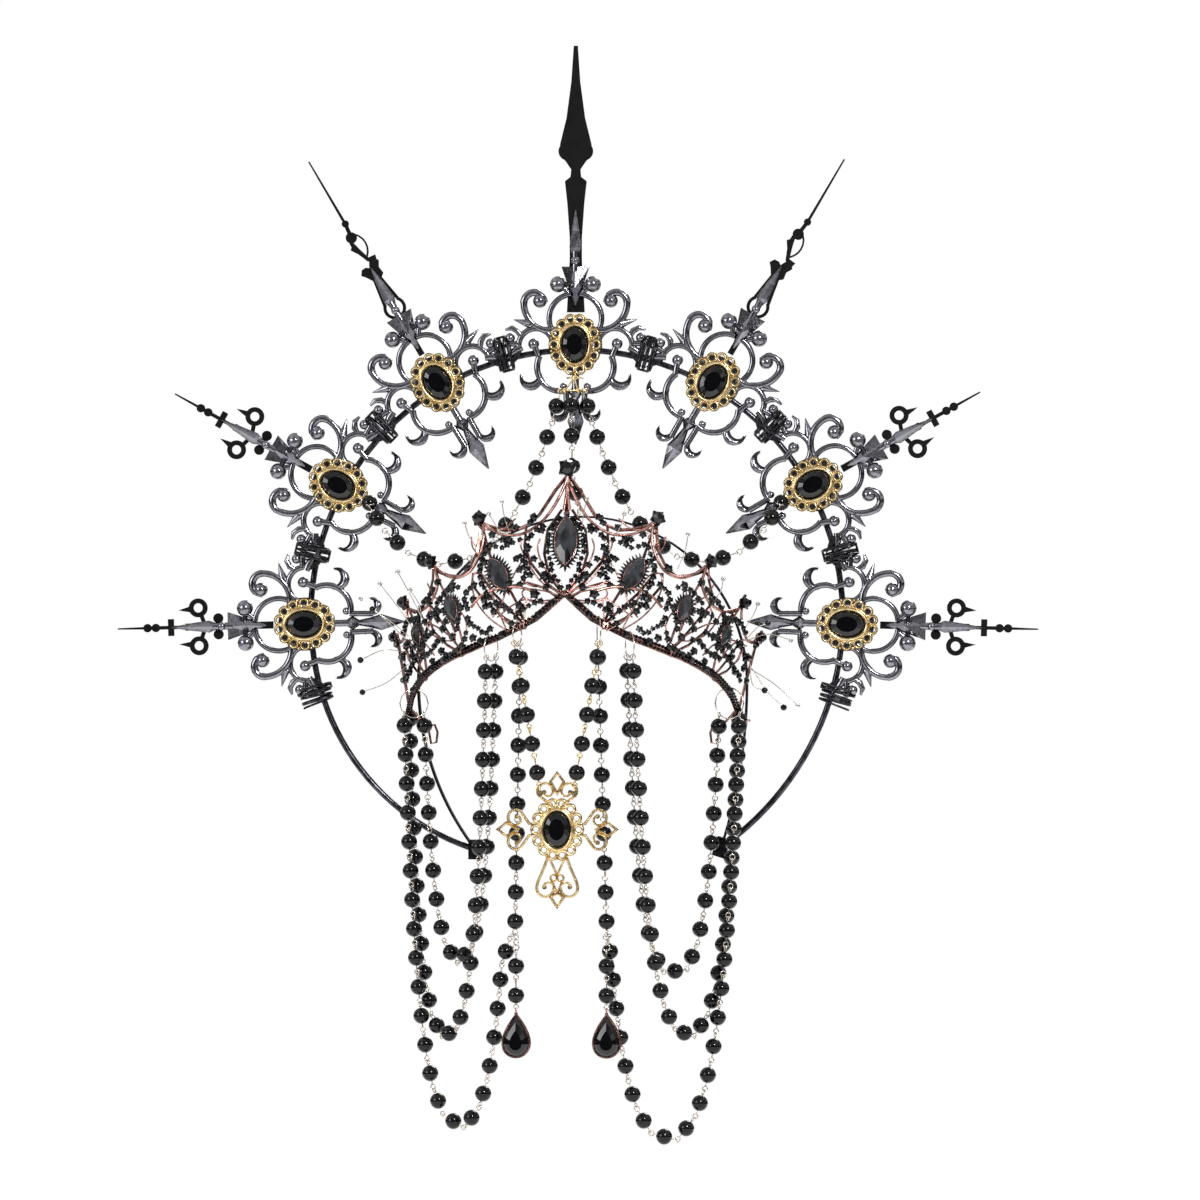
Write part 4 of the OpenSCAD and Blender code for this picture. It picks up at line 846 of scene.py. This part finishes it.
# %% [markdown]
# ## Toothed rims of the marquise stones
# Each long stone sits in a black cup whose edge is a row of little teeth, like a gear. The
# teeth could be cut from a plate, but they are easier as a row of small pointed pegs that walk
# round the stone's outline at a fixed pitch and face outward from it. A black wire behind
# them is the cup's edge.

# %% Teeth and cups
MARQUISES = [(0, 55.3, 5.4, 12.4, 0), (21, 41.5, 4.3, 9.6, 24), (39.4, 31.6, 3.7, 7, 20), (57.7, 29, 3.2, 6, 14)]


def pointed_oval(a, b, half=14):
    """Two arcs that meet above and below."""
    r = (a * a + b * b) / (2 * a)
    reach = math.asin(b / r)
    line = []
    for side in (1, -1):
        for k in range(half):
            t = side * reach * (2 * k / half - 1)
            line.append((side * (r * math.cos(t) - r + a), r * math.sin(t)))
    return line


def wall_frame(angle, up, lean):
    """Right, up and out at a place on the wall, turned by a lean in degrees."""
    out = wall_out(angle)
    rise = on_wall(angle, 1) - on_wall(angle, 0)
    right = np.cross(rise, out)
    t = math.radians(lean)
    return (right * math.cos(t) + rise * math.sin(t), rise * math.cos(t) - right * math.sin(t), out)


tooth_rings, tooth_facing, cups, bright_rims = [], [], [], []
for angle, up, a, b, lean in MARQUISES:
    for side in ((1,) if angle == 0 else (-1, 1)):
        right, rise, out = wall_frame(side * angle, up, -side * lean)
        centre = on_wall(side * angle, up, 0.9)
        place = lambda u, v, o=0.0: (centre + right * u + rise * v + out * o) * MM
        line = pointed_oval(a + 0.75, b + 1.1)
        tooth_rings.append([place(u, v) for u, v in line])
        for k in range(len(line)):
            ahead = np.array(line[(k + 1) % len(line)]) - np.array(line[k - 1])
            outward = np.array([ahead[1], -ahead[0]])
            if outward @ np.array(line[k]) < 0:
                outward = -outward
            sideways = (right * outward[0] + rise * outward[1]) / np.linalg.norm(outward)
            tooth_facing.append(tuple(sideways + out * 0.25))
        cups.append([place(u, v, 0.1) for u, v in pointed_oval(a + 0.35, b + 0.5)])
        bright_rims.append([place(u, v, 1.3) for u, v in pointed_oval(a + 0.1, b + 0.15)])
piece("marquise_rims", "black_crystal",
      grow(ROW, skeleton("teeth", rings=tooth_rings, facing=tooth_facing), BLACK_CRYSTAL, Pitch=1.75 * MM,
           Bottom=0.85 * MM, Top=0.2 * MM, Height=2.3 * MM, Sides=5),
      grow(WIRE, skeleton("cups", rings=cups), BLACK_CRYSTAL, Diameter=1.7 * MM, Sides=6))
piece("marquise_wires", "rose_gold",
      grow(WIRE, skeleton("bright_rims", rings=bright_rims), ROSE_GOLD, Diameter=0.5 * MM))

# %% [markdown]
# ## Prong-set stones
# Between the wires sit dozens of small round black stones in black prongs, three to five
# millimetres wide. Seen from the front the prongs give them a ragged, starry edge. Each stone
# is a cut cone on a five-pointed plate. Their places were counted on the right half of the
# photograph, and the left half is its mirror image, as on the real tiara.

# %% Star-set stone tree
def star_tree():
    tree, given, close = new_tree("Star-set stone", Points=5, Collar=1.35, Waist=0.85)
    star = add(tree, "GeometryNodeCurveStar", {"Points": given["Points"], "Inner Radius": given["Waist"],
                                                "Outer Radius": given["Collar"]}).outputs["Curve"]
    flat = add(tree, "GeometryNodeFillCurve", {"Curve": star}).outputs[0]
    plate = add(tree, "GeometryNodeExtrudeMesh", {"Mesh": flat, "Offset Scale": 0.45}).outputs["Mesh"]
    low = add(tree, "GeometryNodeMeshCone", {"Vertices": 8, "Radius Bottom": 0.9, "Radius Top": 0.98, "Depth": 0.5})
    table = add(tree, "GeometryNodeMeshCone", {"Vertices": 8, "Radius Bottom": 0.98, "Radius Top": 0.5,
                                                "Depth": 0.55})
    raised = add(tree, "GeometryNodeTransform", {"Geometry": low.outputs["Mesh"],
                                                  "Translation": (0, 0, 0.3)}).outputs[0]
    topped = add(tree, "GeometryNodeTransform", {"Geometry": table.outputs["Mesh"],
                                                  "Translation": (0, 0, 0.8)}).outputs[0]
    whole = add(tree, "GeometryNodeJoinGeometry")
    for part in (plate, raised, topped):
        tree.links.new(part, whole.inputs[0])
    size = add(tree, "GeometryNodeInputNamedAttribute", {"Name": "size"}, data_type="FLOAT").outputs["Attribute"]
    facing = add(tree, "GeometryNodeInputNamedAttribute", {"Name": "facing"}, data_type="FLOAT_VECTOR")
    turned = add(tree, "FunctionNodeAlignRotationToVector", {"Vector": facing.outputs["Attribute"]}, axis="Z")
    return close(add(tree, "GeometryNodeInstanceOnPoints", {
        "Points": given["Geometry"], "Instance": whole.outputs[0], "Rotation": turned.outputs[0],
        "Scale": size}).outputs[0])


STARS = star_tree()

# %% Set the small stones
# Photograph's pixels across and down, and the stone's width in mm
SMALL_STONES = [
    (599.5, 519, 3.6), (602.7, 524, 3), (604, 549, 3.6), (591, 532, 3), (624, 541, 3.4), (630, 541, 3),
    (641.6, 536, 3.2), (648, 563, 3), (646, 600, 3.4), (635, 612, 3.2), (666.5, 569, 3.6), (594, 595, 4.2),
    (586, 614, 3.6), (609, 606, 3.6), (606, 632, 4), (585.5, 577, 4.2), (579, 581, 3.2), (638, 629, 3),
    (656, 638, 3.4), (648, 641, 3), (658, 600, 3.2), (682, 586, 3.4), (699, 583, 3.4), (708, 602, 3.8),
    (700, 615, 3.6), (691, 629, 3.2), (679, 637, 3.4), (667, 647, 3.2), (691, 651, 3.4), (710.5, 637, 3.6),
    (719, 633, 3.4), (714, 646, 3), (728, 656, 3.4), (736, 644.5, 3.4), (752.6, 644.5, 3.4), (731, 671, 3.2),
    (701.6, 661, 3), (745, 657, 3.2), (728, 620, 3.4), (617, 529, 3), (611, 571, 3), (597, 560, 3), (622, 585, 3.4),
    (615, 560, 3), (640, 578, 3.2), (663, 619, 3), (671, 608, 3), (690, 640, 2.8), (721, 645, 3), (740, 668, 3),
    (743, 680, 3), (724, 633, 3), (696, 600, 3), (688, 622, 3), (712, 655, 3), (583, 588, 3), (572, 603, 3.6),
    (571, 611, 3.2), (589, 566, 3), (576, 527, 3)]
places, sizes, facing = [], [], []
for px, py, width in SMALL_STONES:
    angle, up = wall_at(px, py)
    if up < foot(angle) + 3 or abs(angle) > 84:
        print("   off the wall:", px, py, round(angle, 1), round(up, 1))
        continue
    for side in (-1, 1):
        places.append(on_wall(side * angle, up, 0.8) * MM)
        facing.append(tuple(wall_out(side * angle)))
        sizes.append(width / 1.9 * MM)
PEAKS = [(0, 93, 3.9), (26.4, 72.6, 3.1), (45.9, 60.3, 2.9), (63.6, 51.4, 2.9), (78.6, 45, 2.6)]
collars, collar_facing, collar_sizes = [], [], []
for angle, up, r in PEAKS:
    for side in ((1,) if angle == 0 else (-1, 1)):
        collars.append(on_wall(side * angle, up, 0.9) * MM)
        collar_facing.append(tuple(wall_out(side * angle)))
        collar_sizes.append((r - 0.1) / 0.98 * MM)
piece("prong_stones", "black_crystal",
      grow(STARS, spots("small_stones", places, size=sizes, facing=facing), BLACK_CRYSTAL, Points=5),
      grow(STARS, spots("peak_collars", collars, size=collar_sizes, facing=collar_facing), BLACK_CRYSTAL, Points=5,
           Collar=1.4, Waist=0.95))
print("small stones:", len(places), "peaks:", len(collars))

# %% [markdown]
# ## Fine wires
# Over the main wires run finer ones of the same rose gold: leaf loops round the small stones,
# fans that spring from the knots on the foot, and spirals. They are read off the photograph as
# a few points each. A smooth curve through them is worked out before the wire tree sweeps it.

# %% Smooth lines on the wall
def smooth(points, steps=6):
    """A Catmull-Rom curve through the points."""
    p = [np.array(q, float) for q in points]
    p = [2 * p[0] - p[1]] + p + [2 * p[-1] - p[-2]]
    line = []
    for k in range(1, len(p) - 2):
        for s in range(steps):
            t = s / steps
            line.append(0.5 * (2 * p[k] + (p[k + 1] - p[k - 1]) * t
                               + (2 * p[k - 1] - 5 * p[k] + 4 * p[k + 1] - p[k + 2]) * t * t
                               + (3 * p[k] - p[k - 1] - 3 * p[k + 1] + p[k + 2]) * t ** 3))
    return line + [p[-2]]


FINE_WIRES = [
    [(618.7, 631.8), (639, 619), (654.4, 602.4), (660.8, 584.6), (658.2, 574.4), (651.8, 574.4), (642.9, 582),
     (636.5, 598.6), (630, 612.7), (622, 628)],
    [(567.7, 594.8), (590.6, 580.8), (609.7, 551.4), (611, 540)],
    [(567.7, 596), (579, 588.4), (597, 587), (608.5, 580.8)],
    [(572.8, 601), (585.5, 603.7), (602, 600), (614.8, 605), (631.4, 617.8)],
    [(603.4, 628), (603.4, 612), (602, 598.6)],
    [(608.5, 561.6), (616, 574.4), (623.8, 592), (628.9, 607.6), (636.5, 617.8)],
    [(688.8, 591), (686, 605), (682.4, 620), (678.6, 630.5)],
    [(671, 645.8), (687.5, 633), (706.7, 624), (725.8, 624)],
    [(566, 596), (576, 580), (588, 566), (594, 550), (592, 540)],
    [(566, 598), (584, 592), (604, 590), (606, 597), (596, 602), (580, 601), (568, 600)],
    [(606, 630), (612, 616), (611, 604), (606, 598)],
    [(606, 631), (622, 622), (634, 606), (640, 590)],
    [(618, 520), (630, 530), (648, 531), (658, 526)],
    [(640, 578), (652, 560), (662, 548), (664, 538)],
    [(676, 640), (680, 622), (690, 606), (704, 596), (712, 584)],
    [(676, 641), (692, 640), (706, 632), (716, 618), (722, 606)],
    [(700, 655), (712, 644), (728, 640), (744, 646)],
    [(716, 662), (726, 648), (738, 640), (752, 642)],
    [(668, 642), (664, 628), (668, 616), (678, 606)]]
lines = []
for wire in FINE_WIRES:
    on_it = [wall_at(px, py) for px, py in wire]
    for side in (-1, 1):
        lines.append([on_wall(side * angle, up, 1.1) * MM for angle, up in smooth(on_it) if abs(angle) < 85])
# The scalloped edge and the long arms of the middle point, thicker than the fine wires
EDGE_WIRES = [
    [(567.5, 474), (571, 488), (580, 508), (592, 524), (609, 535), (628, 536.5), (644, 530.5), (651.5, 524)],
    [(651.5, 526), (650.5, 540), (654, 557), (663, 572), (677, 578.5), (691, 575.5), (703, 567)],
    [(703, 569), (699.5, 584), (703, 597), (711, 607), (722, 611.5), (734.5, 609)],
    [(568.5, 482), (566.5, 500), (564.5, 512)],
    [(590, 594), (612, 588), (634, 590), (650, 597), (660, 608)]]
edge_lines = []
for wire in EDGE_WIRES:
    on_it = [wall_at(px, py) for px, py in wire]
    for side in (-1, 1):
        edge_lines.append([on_wall(side * angle, up, 1.3) * MM for angle, up in smooth(on_it) if abs(angle) < 85])
print("fine wires:", len(lines), "edge wires:", len(edge_lines))
piece("tiara_edge_wires", "rose_gold", grow(WIRE, skeleton("edge_wires", edge_lines), ROSE_GOLD, Diameter=1.5 * MM,
                                            Sides=8))
piece("tiara_fine_wires", "rose_gold",
      grow(WIRE, skeleton("fine_wires", lines), ROSE_GOLD, Diameter=0.85 * MM, Sides=6))

# %% [markdown]
# ## Crowded stones along the wires
# Close up, the tiara is dark because small black stones crowd along its inner wires and round
# the long stones. Counting each would be guesswork, so they are set along lines at a near
# even pitch, with a little chance in place and size from a fixed seed.

# %% Crowded stones
STONE_LINES = [
    [(574, 520), (583, 532), (584, 552), (578, 572), (569, 588)], [(590, 527), (604, 540), (606, 560), (598, 580)],
    [(612, 541), (630, 548), (646, 545)], [(612, 556), (606, 574), (612, 590)], [(618, 612), (632, 604), (648, 608)],
    [(647, 548), (653, 566), (650, 584), (640, 600)], [(657, 585), (668, 594), (664, 612)],
    [(664, 632), (672, 650), (690, 655)], [(676, 588), (690, 592), (700, 606), (697, 622)],
    [(682, 600), (674, 618), (678, 634)], [(704, 590), (714, 600), (722, 616), (720, 632)],
    [(697, 640), (706, 652), (720, 660)], [(722, 618), (736, 622), (744, 634)], [(702, 632), (716, 640), (730, 650)],
    [(734, 640), (742, 654), (742, 668)], [(716, 646), (728, 662), (738, 680)], [(640, 634), (654, 628), (664, 622)],
    [(586, 602), (600, 606), (612, 616), (616, 628)], [(690, 612), (706, 614), (716, 624)]]
chance = np.random.default_rng(7)
places, sizes, facing = [], [], []
for line in STONE_LINES:
    path = smooth([wall_at(px, py) for px, py in line], 5)
    stops = [on_wall(*spot) for spot in path]
    run = np.concatenate([[0], np.cumsum([np.linalg.norm(b - a) for a, b in zip(stops, stops[1:])])])
    # A stone every 3.1 mm along the line
    for far in np.arange(0.6, run[-1], 3.1):
        angle = np.interp(far, run, [q[0] for q in path]) + chance.uniform(-0.35, 0.35)
        up = np.interp(far, run, [q[1] for q in path]) + chance.uniform(-0.5, 0.5)
        size = chance.uniform(1.15, 1.6) * MM
        if up < foot(angle) + 3 or abs(angle) > 84:
            continue
        for side in (-1, 1):
            places.append(on_wall(side * angle, up, 0.5) * MM)
            facing.append(tuple(wall_out(side * angle)))
            sizes.append(size)
piece("crowded_stones", "black_crystal",
      grow(STARS, spots("crowded", places, size=sizes, facing=facing), BLACK_CRYSTAL, Points=5))
print("crowded stones:", len(places))

# %% [markdown]
# ## Sprays at the tiara's edge
# Fine bare wires stand out from the tiara's edge, each with a tiny clear or black bead on its
# tip. They are far too thin for the CAD. Each is a bent line from the wall to a point in front
# of or beside it, so its far end is placed by its pixel at a depth taken from its root.

# %% Sprays of wire and seed beads
def at_depth(px, py, y):
    """The point behind a pixel at depth y, in millimetres."""
    x = ((px - 576) * 0.494 - math.sin(CAMERA_TURN) * y) / math.cos(CAMERA_TURN)
    return np.array([x, y, -49 - (py - 617) * 0.494])


# Root pixel, middle pixel, tip pixel, forward reach in mm, bead width in mm, clear or not
SPRAYS = [((424, 618), (412, 596), (399, 572), 6, 2.6, True), ((424, 618), (420, 604), (411, 590), 5, 2.6, True),
          ((416, 630), (398, 606), (381, 584), 8, 2.4, True), ((408, 640), (384, 618), (361, 599), 4, 2.4, True),
          ((410, 636), (392, 622), (373, 609), 6, 3.0, False), ((408, 652), (384, 650), (361, 660), 6, 3.2, False),
          ((410, 664), (388, 682), (363, 692), 4, 3.0, False), ((676, 570), (684, 552), (687, 535), 4, 2.4, True),
          ((712, 602), (720, 590), (722, 579), 4, 2.4, True), ((742, 630), (752, 616), (757, 604), 4, 2.4, True),
          ((746, 640), (768, 634), (790, 640), 6, 2.4, True), ((748, 668), (774, 684), (797, 705), 5, 2.4, True),
          ((744, 640), (756, 628), (767, 623), 6, 3.0, False), ((748, 660), (752, 684), (764, 690), 6, 3.2, False),
          ((748, 664), (766, 690), (783, 707), 4, 3.2, False), ((582, 530), (584, 514), (587, 500), 3, 2.2, True),
          ((612, 540), (620, 528), (624, 515), 5, 2.4, True), ((504, 540), (498, 528), (490, 515), 5, 2.4, True),
          ((478, 548), (470, 536), (466, 524), 4, 2.2, True), ((512, 536), (506, 520), (503, 503), 3, 2.2, True)]
stalks, clear, dark, clear_sizes, dark_sizes = [], [], [], [], []
for root, bend, tip, reach, width, is_clear in SPRAYS:
    angle, up = wall_at(*root)
    start = on_wall(np.clip(angle, -84, 84), up, 0.6)
    way = [start, at_depth(*bend, start[1] - reach * 0.7), at_depth(*tip, start[1] - reach)]
    line = smooth(way, 7)
    stalks.append([q * MM for q in line])
    (clear if is_clear else dark).append(line[-1] * MM)
    (clear_sizes if is_clear else dark_sizes).append(width / 2 * MM)
piece("spray_wires", "rose_gold", grow(WIRE, skeleton("stalks", stalks), SILVER_WIRE, Diameter=0.45 * MM, Sides=5),
      grow(BEADS, spots("clear_tips", clear, size=clear_sizes), CLEAR_BEAD, Sides=10))
piece("spray_beads", "black_bead", grow(BEADS, spots("dark_tips", dark, size=dark_sizes), BLACK_BEAD, Sides=10))

# %% [markdown]
# ## Camera, light and floor
# The photograph was taken level with the crown, five degrees to one side, from far away with
# a long lens. The studio is white, yet the metals show dark and bright bands. So the camera
# sees plain white, while reflections see a softly graded room with a dark belt, which is
# what black cards beside a product do in a real studio. One small soft lamp gives each bead
# its single round highlight.

# %% Camera
camera = bpy.data.objects.new("camera", bpy.data.cameras.new("camera"))
camera.data.sensor_width = 36.0
camera.data.lens = 242.9
camera.data.clip_end = 50.0
target = Vector((0.0119, 0.0, -0.0406))
camera.location = target + 4.0 * Vector((math.sin(CAMERA_TURN), -math.cos(CAMERA_TURN), 0.0))
camera.rotation_euler = (target - camera.location).to_track_quat("-Z", "Y").to_euler()
bpy.context.scene.collection.objects.link(camera)
bpy.context.scene.camera = camera
bpy.context.scene.view_settings.view_transform = "Standard"
print("camera at", [round(c, 3) for c in camera.location])

# %% The room that the metals reflect
def light_room():
    world = bpy.data.worlds.new("studio")
    bpy.context.scene.world = world
    world.use_nodes = True
    tree = world.node_tree
    tree.nodes.clear()
    way = add(tree, "ShaderNodeTexCoord").outputs["Generated"]
    axes = add(tree, "ShaderNodeSeparateXYZ", {"Vector": way}).outputs
    lifted = add(tree, "ShaderNodeMapRange", {"Value": axes["Z"], "From Min": -1.0, "From Max": 1.0})
    ramp = add(tree, "ShaderNodeValToRGB", {"Fac": lifted.outputs["Result"]})
    bands = [(0.0, 0.5), (0.3, 0.3), (0.4, 0.85), (0.46, 0.06), (0.54, 0.05), (0.62, 1.0), (0.7, 0.16), (0.84, 0.9),
             (1.0, 1.2)]
    stops = ramp.color_ramp.elements
    while len(stops) < len(bands):
        stops.new(0.5)
    for stop, (place, level) in zip(stops, bands):
        stop.position = place
        stop.color = (level, level, level * 1.02, 1.0)
    # Cards beside the object: the room is brighter to its left and right than behind
    side = add(tree, "ShaderNodeMath", {0: axes["X"]}, operation="ABSOLUTE").outputs[0]
    cards = add(tree, "ShaderNodeMapRange", {"Value": side, "From Min": 0.25, "From Max": 0.7, "To Min": 0.75,
                                             "To Max": 1.5}, interpolation_type="SMOOTHSTEP").outputs["Result"]
    seen = add(tree, "ShaderNodeLightPath").outputs["Is Camera Ray"]
    room = add(tree, "ShaderNodeBackground", {"Color": ramp.outputs["Color"], "Strength": cards})
    white = add(tree, "ShaderNodeBackground", {"Color": (1.0, 1.0, 1.0, 1.0), "Strength": 1.0})
    both = add(tree, "ShaderNodeMixShader", {0: seen, 1: room.outputs[0], 2: white.outputs[0]})
    add(tree, "ShaderNodeOutputWorld", {"Surface": both.outputs[0]})


light_room()

# %% Lamps
def soft_lamp(name, place, size, watts):
    lamp = bpy.data.objects.new(name, bpy.data.lights.new(name, "AREA"))
    lamp.data.shape = "DISK"
    lamp.data.size = size
    lamp.data.energy = watts
    lamp.location = place
    lamp.rotation_euler = (Vector((0, 0, -0.06)) - Vector(place)).to_track_quat("-Z", "Y").to_euler()
    bpy.context.scene.collection.objects.link(lamp)


soft_lamp("key", (0.8, -2.0, 1.0), 0.3, 45)
soft_lamp("fill", (-1.8, -1.6, 0.5), 1.2, 22)
soft_lamp("rim", (0.6, 1.8, 1.4), 1.0, 30)

# %% [markdown]
# ## The floor
# The crown is shown as worn, so it hangs free above a plain pale disc. The disc is wide enough
# to read as a floor from any side and narrow enough not to cross the view behind the beads.

# %% Pale floor
def pale_floor():
    material, tree, shader, place = new_finish("pale_floor", Roughness=0.9, Emission_Strength=0.42)
    tone = blend_colours(tree, grain(tree, place, 90.0), srgb("#f1f0ee"), srgb("#f6f6f4"))
    tree.links.new(tone, shader.inputs["Base Color"])
    shader.inputs["Emission Color"].default_value = (1.0, 1.0, 1.0, 1.0)
    disc = bmesh.new()
    bmesh.ops.create_circle(disc, cap_ends=True, segments=96, radius=0.7)
    bmesh.ops.translate(disc, verts=disc.verts, vec=(0.0, 0.0, -0.36))
    floor = bpy.data.objects.new("floor", bpy.data.meshes.new("floor"))
    disc.to_mesh(floor.data)
    disc.free()
    floor.data.materials.append(material)
    bpy.context.scene.collection.objects.link(floor)


pale_floor()
